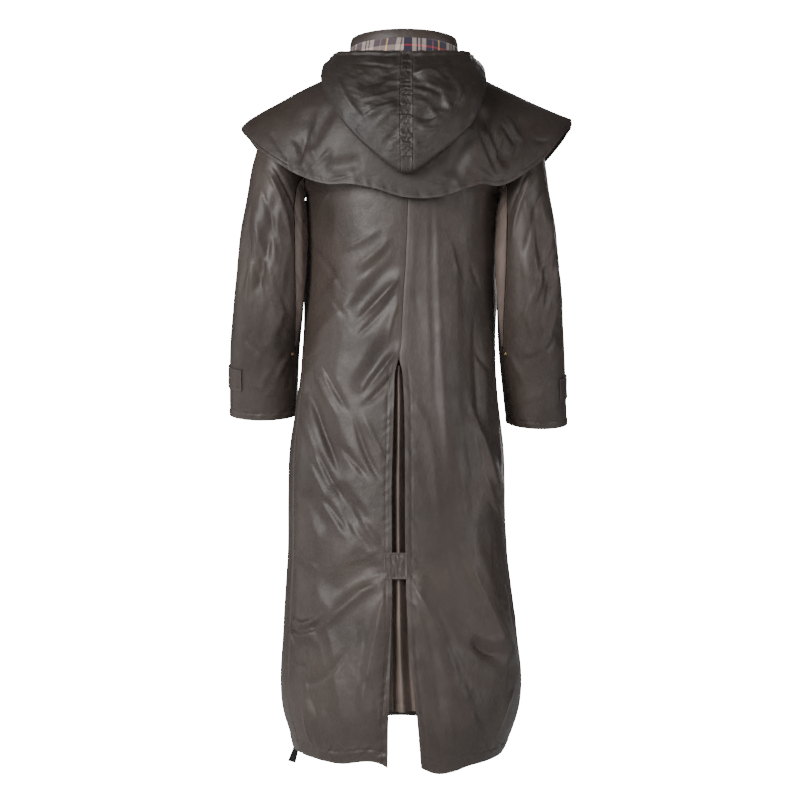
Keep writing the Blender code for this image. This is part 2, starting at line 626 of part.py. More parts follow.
def hood_section(degrees, share):
    """A point of the hood. share runs from the neck seam down, round the fold and up to the rim."""
    share = np.asarray(share, float)
    a = math.radians(degrees)
    out = np.array([math.sin(a), -math.cos(a), 0.0])
    line = {name: float(column(HOOD, name, np.array(float(degrees)))) for name in HoodLine._fields[1:]}
    neck = np.array([
        (NECK_HALF_WIDTH + HOOD_NECK_GAP) * math.sin(a),
        -(NECK_HALF_DEPTH + HOOD_NECK_GAP) * math.cos(a),
        0.0,
    ])
    front = neck[1] > 0
    neck[2] = float(cape_ridge(np.array(neck[0]), front)) + HOOD_CLEARANCE
    fold = np.array([line["fold_x"], line["fold_y"], line["fold_z"]])
    rim = np.array([line["rim_x"], line["rim_y"], line["rim_z"]])
    far, high = HOOD_CLEARANCE + 2 * HOOD_TURN, HOOD_CLEARANCE + HOOD_TURN
    fold = pushed_off_cape(fold, degrees, far, high)
    centre = fold - out * HOOD_TURN
    inner_end = fold - out * 2 * HOOD_TURN
    points = []
    for s in share:
        if s < HOOD_INNER_SHARE:
            t = s / HOOD_INNER_SHARE
            point = pushed_off_cape(neck + (inner_end - neck) * t, degrees, HOOD_CLEARANCE, HOOD_CLEARANCE)
        elif s < HOOD_OUTER_SHARE:
            turn = math.pi * (s - HOOD_INNER_SHARE) / (HOOD_OUTER_SHARE - HOOD_INNER_SHARE)
            point = centre - out * HOOD_TURN * math.cos(turn) - np.array([0, 0, HOOD_TURN * math.sin(turn)])
            point = pushed_off_cape(point, degrees, HOOD_CLEARANCE, HOOD_CLEARANCE)
        else:
            t = (s - HOOD_OUTER_SHARE) / (1 - HOOD_OUTER_SHARE)
            point = fold + (rim - fold) * t + out * line["bulge"] * math.sin(math.pi * t)
            point = pushed_off_cape(point, degrees, far, high)
        points.append(point)
    return np.array(points)


def pushed_off_cape(point, degrees, outward, upward):
    """The point, moved clear of the cape: outwards behind the neck, upwards over the shoulders."""
    x, y, z = point
    front = y > 0
    ridge = float(cape_ridge(np.array(x), front))
    edge, depth = (float(value) for value in cape_edge(np.array(x), front))
    neck = float(cape_neck(np.array(x)))
    if abs(degrees) < HOOD_SHOULDER_DEGREES:
        under = z - HOOD_CLEARANCE
        least = float(cape_depth(np.array(x), np.array(under), front)) + outward
        return np.array([x, min(y, -least) if under < ridge else y, z])
    reached = min(max((abs(y) - neck) / (depth - neck), 0.0), 1.0) * float(rounding(ridge - edge))
    height = ridge - CAPE_ROUNDING * (1 - math.sqrt(1 - reached**2))
    return np.array([x, y, max(z, height + upward)])


def hood_grid(start_degrees, end_degrees, columns, rows):
    """Grid of a hood piece between two angles round the neck."""
    share = np.linspace(0, 1, rows + 1)
    angles = np.linspace(start_degrees, end_degrees, columns + 1)
    base = np.stack([hood_section(angle, share) for angle in angles], axis=1)
    normals = grid_normals(base)
    outer = smooth((share - HOOD_OUTER_SHARE) / 0.10) * smooth((1 - share) / 0.06)
    creases = crease_height(HOOD_CREASES, base[..., 0], base[..., 2]) * outer[:, None]
    return base + normals * creases[..., None]


def collar_grid(start_degrees, end_degrees, columns, rows, low, high, lift):
    """Part of the standing collar between two shares of its height, moved out by lift."""
    angles = np.radians(np.linspace(start_degrees, end_degrees, columns + 1))
    share = np.linspace(low, high, rows + 1)[:, None]
    sine, cosine = np.sin(angles)[None, :], np.cos(angles)[None, :]
    behind = smooth(0.5 + 0.5 * cosine)
    lean = COLLAR_LEAN * share**1.5
    x = (NECK_HALF_WIDTH - lean + lift) * sine
    y = -(NECK_HALF_DEPTH - lean + lift) * cosine
    drop = np.where(cosine > 0, -NECK_BACK_RISE, NECK_FRONT_DROP)
    bottom = NECK_SIDE_Z - drop * cosine**2 + COLLAR_SEAT
    sides = COLLAR_TOP_SIDE_Z + (COLLAR_TOP_BACK_Z - COLLAR_TOP_SIDE_Z) * cosine
    ahead = COLLAR_TOP_SIDE_Z + (COLLAR_TOP_FRONT_Z - COLLAR_TOP_SIDE_Z) * smooth(-cosine)
    top = np.where(cosine > 0, sides, ahead)
    z = bottom + (top - bottom) * share
    return np.stack([x + 0 * z, y + 0 * z, z], axis=-1)


def finish_named(name):
    """The Principled material of a finish, made once."""
    material = bpy.data.materials.get(name) or bpy.data.materials.new(name)
    material.use_nodes = True
    shader = material.node_tree.nodes["Principled BSDF"]
    finish = FINISHES[name]
    shader.inputs["Base Color"].default_value = finish.colour
    shader.inputs["Roughness"].default_value = finish.roughness
    shader.inputs["Metallic"].default_value = finish.metallic
    material.diffuse_color = finish.colour
    return material


def add_mesh(name, vertices, faces, finish):
    """Link a new mesh object with a finish."""
    mesh = bpy.data.meshes.new(name)
    mesh.from_pydata([tuple(float(c) for c in v) for v in vertices], [], faces)
    mesh.validate()
    mesh.materials.append(finish_named(finish))
    thing = bpy.data.objects.new(name, mesh)
    bpy.context.scene.collection.objects.link(thing)
    return thing


def add_sheet(name, grid, outward, finish, thickness=CLOTH, fence=None):
    """A closed wall from a grid of its outer side. outward is 1 where the grid's normals point out."""
    inner = grid - grid_normals(grid) * outward * thickness
    if fence:
        grid, inner = fence(grid), fence(inner)
    rows, columns = grid.shape[0], grid.shape[1]
    count = rows * columns
    vertices = np.concatenate([grid.reshape(-1, 3), inner.reshape(-1, 3)])
    faces = []
    for r in range(rows - 1):
        for c in range(columns - 1):
            a = r * columns + c
            quad = (a, a + 1, a + 1 + columns, a + columns)
            back = tuple(v + count for v in reversed(quad))
            faces += [quad, back]
    rim = [(0, c) for c in range(columns)] + [(r, columns - 1) for r in range(1, rows)]
    rim += [(rows - 1, c) for c in range(columns - 2, -1, -1)] + [(r, 0) for r in range(rows - 2, 0, -1)]
    ring = [r * columns + c for r, c in rim]
    for start, end in zip(ring, ring[1:] + ring[:1]):
        faces.append((end, start, start + count, end + count))
    if outward < 0:
        faces = [tuple(reversed(face)) for face in faces]
    return add_mesh(name, vertices, faces, finish)


def add_disc(name, centre, normal, radius, height, finish, sides=12):
    """A short round stud standing on a surface."""
    normal = normal / np.linalg.norm(normal)
    across = np.cross(normal, [0.0, 0.0, 1.0])
    across = across / np.linalg.norm(across)
    up = np.cross(normal, across)
    vertices = []
    for level, share in ((0.0, 1.0), (0.7, 1.0), (1.0, 0.7)):
        for i in range(sides):
            turn = 2 * math.pi * i / sides
            spoke = across * math.cos(turn) + up * math.sin(turn)
            vertices.append(centre + normal * height * level + spoke * radius * share)
    faces = [tuple(reversed(range(sides))), tuple(range(2 * sides, 3 * sides))]
    for level in range(2):
        for i in range(sides):
            a, b = level * sides + i, level * sides + (i + 1) % sides
            faces.append((a, b, b + sides, a + sides))
    return add_mesh(name, vertices, faces, finish)


def behind_fence(points):
    """Keeps a piece behind the shoulder seam, down to the armhole's lower end."""
    kept = points.copy()
    limited = np.minimum(kept[..., 1], -SEAM / 2)
    kept[..., 1] = np.where(kept[..., 2] > ARMHOLE_BOTTOM_Z + 0.01, limited, kept[..., 1])
    return kept


def ahead_fence(points):
    """Keeps a piece ahead of the shoulder seam, down to the armhole's lower end."""
    kept = points.copy()
    limited = np.maximum(kept[..., 1], SEAM / 2)
    kept[..., 1] = np.where(kept[..., 2] > ARMHOLE_BOTTOM_Z + 0.01, limited, kept[..., 1])
    return kept


def add_body():
    """The two backs and the two fronts."""
    for side in SIGN:
        sign = SIGN[side]
        back = body_panel(side, False, BACK_COLUMNS, BODY_ROWS, ARMHOLE_ROWS)
        add_sheet(f"back_{side}", back, sign, "brown_nylon", fence=behind_fence)
        panel = body_panel(side, True, FRONT_COLUMNS, BODY_ROWS, ARMHOLE_ROWS)
        strip = front_strip(side, OVERLAP_COLUMNS, BODY_ROWS, ARMHOLE_ROWS)
        front = np.concatenate([strip, panel], axis=1)
        if side == "right":
            ramp = smooth((FRONT_RAMP_END - front[..., 0]) / (FRONT_RAMP_END - FRONT_RAMP_START))
            front = raised(front, FRONT_DROP * ramp)
        add_sheet(f"front_{side}", front, -sign, "brown_nylon", fence=ahead_fence)


def add_flap():
    """The flap that covers the front closing."""
    x = np.linspace(-FLAP_HALF_WIDTH, FLAP_HALF_WIDTH, FLAP_COLUMNS + 1)
    z = body_rows(BODY_ROWS, ARMHOLE_ROWS, math.pi, True)[1:-1]
    wide, tall = np.meshgrid(x, z)
    grid = body_cloth(body_angle(wide + 1e-6, tall, True), tall, CLOTH + FLAP_LIFT)
    add_sheet("front_flap", grid, -1, "brown_nylon")


def add_vent():
    """The folded piece behind the vent and the strap that holds the vent."""
    rows = np.linspace(GUSSET_HEM_Z, GUSSET_TOP_Z, GUSSET_ROWS + 1)
    left, right = column(CENTRE_BACK, "left", rows), column(CENTRE_BACK, "right", rows)
    share = np.linspace(0, 1, 13)
    depths = curve(
        [0.0, 0.12, 0.28, 0.50, 0.72, 0.88, 1.0],
        [GUSSET_END_DEPTH, 0.014, GUSSET_DEPTH, GUSSET_RIDGE_DEPTH, GUSSET_DEPTH, 0.014, GUSSET_END_DEPTH],
        share,
    )
    start, end = left - GUSSET_SPREAD, right + GUSSET_SPREAD
    x = start[:, None] + (end - start)[:, None] * share[None, :]
    z = np.broadcast_to(rows[:, None], x.shape)
    grid = body_cloth(body_angle(x, z, False), z, -depths[None, :])
    add_sheet("vent_gusset", grid, 1, "brown_nylon")
    x = np.linspace(TAB_LEFT_X, TAB_RIGHT_X, 6)
    z = np.linspace(TAB_BOTTOM_Z, TAB_TOP_Z, 5)
    wide, tall = np.meshgrid(x, z)
    grid = body_cloth(body_angle(wide, tall, False), tall, TAB_LIFT + CLOTH)
    add_sheet("vent_tab", grid, 1, "brown_nylon", thickness=CLOTH)


def add_sleeves():
    """Top sleeves, underarm pieces with their rivets, and cuff tabs with their studs."""
    for side in SIGN:
        sign = SIGN[side]
        top = sleeve_grid(side, SLEEVE_COLUMNS, SLEEVE_ROWS)
        add_sheet(f"sleeve_{side}", top, -sign, "brown_nylon")
        under = underarm_grid(side, 6, int(round(UNDERARM_END * SLEEVE_ROWS)))
        add_sheet(f"underarm_{side}", under, -sign, "brown_nylon")
        place = sleeve_cloth(side, UNDERARM_END + 0.012, float(underarm_middle(1.0)) + RIVET_TURN, RIVET_LIFT)
        further = sleeve_cloth(side, UNDERARM_END + 0.012, float(underarm_middle(1.0)) + RIVET_TURN, 1.0)
        add_disc(f"rivet_{side}", place, further - place, RIVET_RADIUS, RIVET_HEIGHT, "brass")
        tab = CUFF_TABS[side]
        row = np.linspace(tab.row - tab.half_width, tab.row + tab.half_width, 3)[:, None]
        phi = np.radians(np.linspace(tab.from_degrees, tab.to_degrees, 13))[None, :]
        grid = sleeve_cloth(side, row, phi, CUFF_TAB_LIFT + CLOTH)
        add_sheet(f"cuff_tab_{side}", grid, sign, "brown_nylon")
        stud_phi = math.radians(tab.from_degrees - 10)
        place = sleeve_cloth(side, tab.row, stud_phi, CUFF_TAB_LIFT + LAYER + CLOTH)
        further = sleeve_cloth(side, tab.row, stud_phi, 1.0)
        add_disc(f"cuff_stud_{side}", place, further - place, STUD_RADIUS, STUD_HEIGHT, "snap_metal")


def add_cape():
    """The cape's back and its two fronts."""
    table_x = np.array([point.x for point in CAPE_BACK])
    even = np.linspace(table_x[0], table_x[-1], CAPE_COLUMNS + 1)
    back = cape_grid(even, CAPE_ROWS, False, -1)
    add_sheet("cape_back", back, -1, "brown_nylon", fence=behind_fence)
    for side in SIGN:
        sign = SIGN[side]
        tip = table_x[-1] if side == "right" else -table_x[0]
        x = sign * np.linspace(CAPE_FRONT_EDGE, tip, CAPE_FRONT_COLUMNS + 1)
        grid = cape_grid(x, CAPE_ROWS, True, sign)
        add_sheet(f"cape_front_{side}", grid, sign, "brown_nylon", fence=ahead_fence)


def add_hood():
    """Two sides of the hood and the gathered strip between them."""
    start, end = HOOD[0].degrees, HOOD[-1].degrees
    pieces = (
        ("hood_left", start, -STRIP_HALF_DEGREES - HOOD_SEAM_DEGREES, HOOD_COLUMNS),
        ("hood_strip", -STRIP_HALF_DEGREES, STRIP_HALF_DEGREES, 2),
        ("hood_right", STRIP_HALF_DEGREES + HOOD_SEAM_DEGREES, end, HOOD_COLUMNS),
    )
    for name, low, high, columns in pieces:
        grid = hood_grid(low, high, columns, HOOD_ROWS)
        add_sheet(name, grid, 1, "brown_nylon", thickness=HOOD_CLOTH)


def add_collar():
    """The collar stand, its checked under side in two halves, and its plain top band."""
    end = COLLAR_END_DEGREES
    stand = collar_grid(-end, end, COLLAR_COLUMNS, 3, 0, 1, 0)
    add_sheet("collar", stand, 1, "brown_nylon", thickness=COLLAR_WALL)
    lift = COLLAR_LAYER + THIN_CLOTH
    half = COLLAR_COLUMNS // 2
    gap = 0.15
    left = collar_grid(-end, -gap, half, 2, 0.02, BAND_SHARE - 0.01, lift)
    right = collar_grid(gap, end, half, 2, 0.02, BAND_SHARE - 0.01, lift)
    band = collar_grid(-end, end, COLLAR_COLUMNS, 1, BAND_SHARE, 1, lift)
    add_sheet("undercollar_left", left, 1, "check_cotton", thickness=THIN_CLOTH)
    add_sheet("undercollar_right", right, 1, "check_cotton", thickness=THIN_CLOTH)
    add_sheet("collar_band", band, 1, "brown_nylon", thickness=THIN_CLOTH)


def add_strap():
    """The end of a leg strap that hangs inside the hem at the left side."""
    share = np.linspace(0, 1, 7)[:, None]
    across = np.linspace(-0.5, 0.5, 3)[None, :]
    x = STRAP_TOP_X + (STRAP_END_X - STRAP_TOP_X) * share**2 + STRAP_TWIST * across * share
    y = STRAP_Y + STRAP_WIDTH * across
    z = STRAP_TOP_Z + (STRAP_END_Z - STRAP_TOP_Z) * share - STRAP_SLANT * across * share
    grid = np.stack([x + 0 * z, y + 0 * z, z], axis=-1)
    add_sheet("leg_strap", grid, 1, "webbing", thickness=STRAP_THICKNESS)


def main():
    for thing in list(bpy.data.objects):
        bpy.data.objects.remove(thing, do_unlink=True)
    add_body()
    add_flap()
    add_vent()
    add_sleeves()
    add_cape()
    add_hood()
    add_collar()
    add_strap()


main()
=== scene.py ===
"""The looks of a full-length hooded duster coat, seen from behind, filled out as worn with nobody in it.

Every cloth piece follows the surface of its CAD node, with finer folds, sewn edges, stitches and weave.
Metres, +Z up; the back of the coat faces -Y and the wearer's right arm is on +X.
"""

import math
from collections import namedtuple

import bpy
import numpy as np
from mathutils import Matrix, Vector


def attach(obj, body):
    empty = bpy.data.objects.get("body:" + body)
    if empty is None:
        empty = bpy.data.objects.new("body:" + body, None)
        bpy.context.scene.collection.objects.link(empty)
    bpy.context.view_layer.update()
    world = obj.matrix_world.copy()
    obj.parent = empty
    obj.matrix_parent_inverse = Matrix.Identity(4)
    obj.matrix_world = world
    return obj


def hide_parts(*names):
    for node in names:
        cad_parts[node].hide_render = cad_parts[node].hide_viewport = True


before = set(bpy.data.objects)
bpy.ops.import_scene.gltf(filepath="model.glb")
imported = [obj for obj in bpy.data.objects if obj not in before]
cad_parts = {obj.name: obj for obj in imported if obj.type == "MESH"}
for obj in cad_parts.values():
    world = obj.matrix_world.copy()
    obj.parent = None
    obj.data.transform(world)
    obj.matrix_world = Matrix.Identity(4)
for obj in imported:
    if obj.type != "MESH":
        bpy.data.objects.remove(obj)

# Camera, from the photograph
PHOTO_SIZE = 800
PIXELS_PER_METRE = 530
CENTRE_OFFSET_PIXELS = 4
CAMERA_DISTANCE = 3.5
CAMERA_HEIGHT = -0.62
SENSOR_WIDTH = 36.0

# Studio
FLOOR_Z, FLOOR_REACH = -1.46, 30.0
BACKDROP_GLOW, AMBIENT = 22.0, 0.06
LIT_POINT = (0.0, 0.0, -0.60)
Light = namedtuple("Light", "name place size power")
LIGHTS = (
    Light("key", (-1.9, -2.8, 0.65), (1.4, 1.8), 172.0),
    Light("near", (0.5, -3.9, 0.10), (1.2, 1.2), 30.0),
    Light("right", (3.0, -1.6, -0.20), (0.8, 2.0), 38.0),
    Light("left", (-3.2, 0.2, -0.30), (0.8, 2.0), 24.0),
    Light("front", (0.6, 3.6, 0.30), (2.4, 2.4), 90.0),
)

# Colours
LIGHT_BROWN = (0.044, 0.0318, 0.0262, 1.0)
DARK_BROWN = (0.026, 0.0184, 0.0148, 1.0)
# Painted shade: the cape's nylon is made darker than the body's for the shade on its shoulders
SHADED_CAPE_LIGHT_BROWN = (0.032, 0.0228, 0.0186, 1.0)
SHADED_CAPE_DARK_BROWN = (0.020, 0.0140, 0.0113, 1.0)
# Painted light: a far lighter brown for the vent gusset and the underarm pieces, standing in for light in their
# shaded recesses
PAINTED_LIGHT_PALE_BROWN = (0.145, 0.109, 0.093, 1.0)
PAINTED_LIGHT_DEEP_BROWN = (0.085, 0.064, 0.054, 1.0)
# Painted shade: the hood's nylon is made darker still for the shade it sits in
SHADED_HOOD_LIGHT_BROWN = (0.023, 0.0164, 0.0134, 1.0)
SHADED_HOOD_DARK_BROWN = (0.013, 0.0091, 0.0074, 1.0)
# Lighter brown mixed in near every panel edge: partly rubbed wear, partly a painted highlight on the rolled edges
RIM_WEAR_AND_HIGHLIGHT_BROWN = (0.090, 0.072, 0.064, 1.0)
RIM_WEAR_AND_HIGHLIGHT_REACH = 0.006
BRASS, TARNISHED_BRASS = (0.62, 0.47, 0.22, 1.0), (0.35, 0.25, 0.11, 1.0)
PLATE, TARNISHED_PLATE = (0.075, 0.062, 0.053, 1.0), (0.040, 0.034, 0.030, 1.0)
BLACK, WORN_BLACK = (0.006, 0.006, 0.007, 1.0), (0.020, 0.019, 0.019, 1.0)
THREAD, LIGHT_THREAD = (0.035, 0.028, 0.025, 1.0), (0.070, 0.057, 0.050, 1.0)
SHEEN_TINT = (0.85, 0.80, 0.78, 1.0)
PALE_FLOOR, PALER_FLOOR = (0.80, 0.80, 0.80, 1.0), (0.84, 0.84, 0.84, 1.0)
BACKDROP_WHITE, AMBIENT_WHITE = (1.0, 1.0, 1.0, 1.0), (1.0, 0.99, 0.98, 1.0)

# Cloth and seams
CLOTH = 0.0016
THIN_CLOTH = 0.0010
SEAM = 0.0008
LAYER = 0.0004

SIGN = {"left": -1, "right": 1}


def records(kind, rows):
    """A table's rows as records of one kind."""
    return tuple(kind(*row) for row in rows)


def in_millimetres(kind, rows):
    """Rows of millimetres, whose last value is a height in tenths of a millimetre, as records in metres."""
    return tuple(kind(*(value / 1000 for value in row[:-1]), row[-1] / 10000) for row in rows)


# Neck ring and shoulder line of the body
NECK_HALF_WIDTH = 0.105
NECK_HALF_DEPTH = 0.078
NECK_SIDE_Z = -0.010
NECK_BACK_RISE = 0.010
NECK_FRONT_DROP = 0.065
SHOULDER_SLOPE = 0.50
SHOULDER_ROUNDING = 0.20

# Armhole: an upright ellipse at each side
ARMHOLE_TOP_Z = -0.056
ARMHOLE_BOTTOM_Z = -0.234
ARMHOLE_HALF_DEPTH = 0.078

# Body sections, from hem to shoulder. left and right are the reach along X, middle is where along Y the
# body is widest, back and front are the depths from there, and the seams are degrees from the centre back.
Section = namedtuple("Section", "z left right back front middle left_seam right_seam")
BODY = records(Section, (
    (-1.300, -0.203, 0.176, 0.176, 0.176, 0.000, 63, 80),
    (-1.245, -0.214, 0.200, 0.182, 0.180, 0.000, 63, 80),
    (-1.195, -0.229, 0.216, 0.184, 0.180, 0.000, 64, 80),
    (-1.150, -0.232, 0.221, 0.182, 0.178, 0.000, 65, 80),
    (-1.060, -0.228, 0.213, 0.175, 0.172, 0.000, 66, 80),
    (-0.990, -0.224, 0.205, 0.170, 0.166, 0.000, 67, 80),
    (-0.910, -0.219, 0.195, 0.163, 0.160, 0.000, 68, 80),
    (-0.790, -0.218, 0.190, 0.154, 0.150, 0.000, 69, 81),
    (-0.720, -0.216, 0.188, 0.147, 0.147, -0.002, 70, 82),
    (-0.650, -0.2055, 0.180, 0.134, 0.148, -0.010, 72, 83),
    (-0.560, -0.1945, 0.173, 0.141, 0.130, 0.004, 76, 85),
    (-0.420, -0.1890, 0.1765, 0.175, 0.086, 0.042, 84, 88),
    (-0.300, -0.1885, 0.1785, 0.181, 0.084, 0.043, 90, 90),
    (-0.234, -0.1835, 0.1765, 0.152, 0.115, 0.012, 90, 90),
    (-0.145, -0.187, 0.184, 0.138, 0.120, 0.000, 90, 90),
    (-0.056, -0.195, 0.195, 0.134, 0.112, 0.000, 90, 90),
    (0.010, -0.195, 0.195, 0.134, 0.112, 0.000, 90, 90),
))
BODY_FULLNESS = 2.25
SIDE_BLEND = 0.10

# Hem heights round the body, by degrees from the centre back
HemPoint = namedtuple("HemPoint", "degrees z")
HEM = records(HemPoint, (
    (-180, -1.245),
    (-130, -1.252),
    (-95, -1.268),
    (-70, -1.272),
    (-40, -1.276),
    (-4, -1.274),
    (6, -1.288),
    (40, -1.281),
    (70, -1.276),
    (95, -1.272),
    (130, -1.258),
    (180, -1.245),
))

# Centre back: one seam line down to the vent, then the two edges of the vent
CentrePoint = namedtuple("CentrePoint", "z left right")
CENTRE_BACK = records(CentrePoint, (
    (-1.300, -0.0290, 0.0315),
    (-1.200, -0.0275, 0.0235),
    (-1.080, -0.0240, 0.0105),
    (-0.980, -0.0217, 0.0045),
    (-0.890, -0.0215, 0.0020),
    (-0.765, -0.0220, 0.0015),
    (-0.690, -0.0197, 0.0010),
    (-0.610, -0.0175, -0.0010),
    (-0.565, -0.0150, -0.0045),
    (-0.545, -0.0095, -0.0085),
    (-0.520, -0.0060, -0.0060),
    (-0.440, -0.0018, -0.0018),
    (-0.350, 0.0035, 0.0035),
    (-0.250, 0.0070, 0.0070),
    (0.020, 0.0070, 0.0070),
))
TAB_TOP_Z = -0.895
TAB_BOTTOM_Z = -0.942
TAB_LEFT_X = -0.0362
TAB_RIGHT_X = 0.0062
TAB_LIFT = 0.0012
GUSSET_TOP_Z = -0.556
GUSSET_HEM_Z = -1.180
GUSSET_SPREAD = 0.020
GUSSET_END_DEPTH = 0.0037
GUSSET_DEPTH = 0.030
GUSSET_RIDGE_DEPTH = 0.009

# Front closing
FRONT_OVERLAP = 0.034
FRONT_DROP = 0.0032
FRONT_RAMP_START = 0.041
FRONT_RAMP_END = 0.076
FLAP_HALF_WIDTH = 0.032
FLAP_LIFT = 0.0008

# Sleeve rings from the armhole to the cuff. outer and inner are the two ends of the ring in the X-Z
# plane, mirrored for the left arm; y and half_depth place it in depth; tilt is its slope along Y.
Ring = namedtuple("Ring", "outer_x outer_z inner_x inner_z y half_depth tilt")
SLEEVES = {
    "left": records(Ring, (
        (0.1962, -0.0575, 0.1846, -0.2350, 0.000, 0.0780, 0.00),
        (0.2360, -0.0790, 0.1876, -0.2440, -0.006, 0.0790, 0.00),
        (0.2630, -0.1150, 0.1872, -0.2560, -0.013, 0.0800, 0.00),
        (0.2830, -0.1750, 0.1860, -0.2740, -0.020, 0.0800, 0.00),
        (0.2945, -0.2430, 0.1848, -0.3020, -0.025, 0.0780, 0.02),
        (0.3065, -0.3110, 0.1846, -0.3420, -0.027, 0.0750, 0.04),
        (0.3140, -0.3790, 0.1856, -0.3950, -0.025, 0.0710, 0.06),
        (0.3205, -0.4470, 0.1892, -0.4550, -0.015, 0.0670, 0.10),
        (0.3280, -0.5150, 0.1965, -0.5200, 0.004, 0.0610, 0.16),
        (0.3310, -0.5830, 0.2010, -0.5860, 0.028, 0.0560, 0.22),
        (0.3330, -0.6460, 0.2030, -0.6460, 0.044, 0.0530, 0.25),
    )),
    "right": records(Ring, (
        (0.1962, -0.0575, 0.1777, -0.2350, 0.000, 0.0780, 0.00),
        (0.2320, -0.0790, 0.1798, -0.2440, -0.006, 0.0790, 0.00),
        (0.2520, -0.1150, 0.1785, -0.2560, -0.013, 0.0800, 0.00),
        (0.2650, -0.1750, 0.1765, -0.2740, -0.020, 0.0800, 0.00),
        (0.2735, -0.2430, 0.1750, -0.3020, -0.025, 0.0780, 0.02),
        (0.2845, -0.3110, 0.1742, -0.3420, -0.027, 0.0750, 0.04),
        (0.2920, -0.3790, 0.1736, -0.3950, -0.025, 0.0710, 0.06),
        (0.2970, -0.4470, 0.1745, -0.4550, -0.015, 0.0670, 0.10),
        (0.3025, -0.5150, 0.1780, -0.5200, 0.004, 0.0610, 0.16),
        (0.3070, -0.5830, 0.1855, -0.5860, 0.028, 0.0560, 0.22),
        (0.3120, -0.6640, 0.1945, -0.6610, 0.048, 0.0530, 0.24),
    )),
}
SLEEVE_RADIUS = 0.045
UNDERARM_HALF_ANGLE = 48
UNDERARM_TIP_ANGLE = 2.5
UNDERARM_TURN = 24
UNDERARM_END = 0.80
UNDERARM_TIP_GAP = 0.006
UNDERARM_EASE = 0.018
RIVET_TURN = 0.20
RIVET_LIFT = -0.0006
RIVET_RADIUS = 0.0032
RIVET_HEIGHT = 0.0020
CUFF_TAB_LIFT = 0.0012
STUD_RADIUS = 0.0070
STUD_HEIGHT = 0.0024
CuffTab = namedtuple("CuffTab", "row half_width from_degrees to_degrees")
CUFF_TABS = {
    "left": CuffTab(0.886, 0.029, 88, -54),
    "right": CuffTab(0.912, 0.026, 88, -42),
}

# Cape: back piece and two fronts, joined along the shoulder. ridge and edge are the heights of the
# shoulder line and of the lower edge, and depth is how far the edge stands from the middle plane.
CapePoint = namedtuple("CapePoint", "x ridge edge depth")
CAPE_BACK = records(CapePoint, (
    (-0.3060, -0.1040, -0.1130, 0.008),
    (-0.2960, -0.0955, -0.1270, 0.046),
    (-0.2700, -0.0790, -0.1560, 0.080),
    (-0.2330, -0.0590, -0.1850, 0.104),
    (-0.1960, -0.0385, -0.2080, 0.118),
    (-0.1730, -0.0275, -0.2190, 0.132),
    (-0.1380, -0.0120, -0.2290, 0.145),
    (-0.1023, 0.0020, -0.2295, 0.154),
    (-0.0560, 0.0075, -0.2380, 0.160),
    (0.0000, 0.0090, -0.2545, 0.162),
    (0.0680, 0.0065, -0.2530, 0.160),
    (0.1147, -0.0010, -0.2370, 0.154),
    (0.1428, -0.0135, -0.2290, 0.147),
    (0.1700, -0.0270, -0.2320, 0.136),
    (0.1900, -0.0360, -0.2250, 0.122),
    (0.2260, -0.0530, -0.2020, 0.108),
    (0.2600, -0.0680, -0.1740, 0.086),
    (0.2900, -0.0805, -0.1340, 0.056),
    (0.3160, -0.0900, -0.1020, 0.008),
))
CapeFrontPoint = namedtuple("CapeFrontPoint", "share edge depth")
CAPE_FRONT = records(CapeFrontPoint, (
    (0.00, -0.275, 0.142),
    (0.13, -0.274, 0.142),
    (0.29, -0.265, 0.137),
    (0.43, -0.248, 0.129),
    (0.61, -0.219, 0.114),
    (0.74, -0.190, 0.098),
    (0.87, -0.156, 0.073),
    (0.95, -0.128, 0.044),
    (1.00, -0.106, 0.008),
))
CAPE_FRONT_EDGE = 0.024
CAPE_ROUNDING = 0.17
CAPE_NECK_GAP = 0.0050

# Collar, standing up
COLLAR_WALL = 0.0020
COLLAR_SEAT = 0.0024
COLLAR_TOP_BACK_Z = 0.0670
COLLAR_TOP_SIDE_Z = 0.0570
COLLAR_TOP_FRONT_Z = -0.0150
COLLAR_LEAN = 0.0070
COLLAR_LEAN_POWER = 1.5
COLLAR_END_DEGREES = 166
COLLAR_LAYER = 0.0007
BAND_SHARE = 0.74

# Hood, hanging down the back. For each angle round the neck: the rim, the outer bulge and the fold
# where the outer layer turns under.
HoodLine = namedtuple("HoodLine", "degrees rim_x rim_y rim_z fold_x fold_y fold_z bulge")
HOOD = records(HoodLine, (
    (-160, -0.046, 0.098, -0.032, -0.050, 0.106, -0.048, 0.002),
    (-125, -0.106, 0.078, 0.008, -0.116, 0.086, -0.010, 0.003),
    (-90, -0.129, 0.018, 0.024, -0.150, 0.020, 0.005, 0.002),
    (-62, -0.128, -0.062, 0.022, -0.147, -0.092, -0.052, 0.010),
    (-42, -0.108, -0.112, 0.018, -0.112, -0.155, -0.114, 0.016),
    (-22, -0.058, -0.136, 0.014, -0.060, -0.178, -0.166, 0.020),
    (0, 0.004, -0.142, 0.012, 0.004, -0.186, -0.204, 0.022),
    (22, 0.062, -0.136, 0.014, 0.068, -0.178, -0.168, 0.020),
    (42, 0.106, -0.112, 0.018, 0.122, -0.153, -0.120, 0.016),
    (62, 0.124, -0.062, 0.022, 0.147, -0.092, -0.060, 0.010),
    (90, 0.121, 0.018, 0.024, 0.148, 0.020, 0.005, 0.002),
    (125, 0.104, 0.078, 0.008, 0.114, 0.086, -0.010, 0.003),
    (160, 0.046, 0.098, -0.032, 0.050, 0.106, -0.048, 0.002),
))
HOOD_CLOTH = 0.0014
HOOD_TURN = 0.0100
HOOD_NECK_GAP = 0.0070
HOOD_CLEARANCE = 0.0102
HOOD_SHOULDER_DEGREES = 73
HOOD_INNER_SHARE = 0.40
HOOD_OUTER_SHARE = 0.52
HOOD_SEAM_DEGREES = 0.36
STRIP_HALF_DEGREES = 3.5

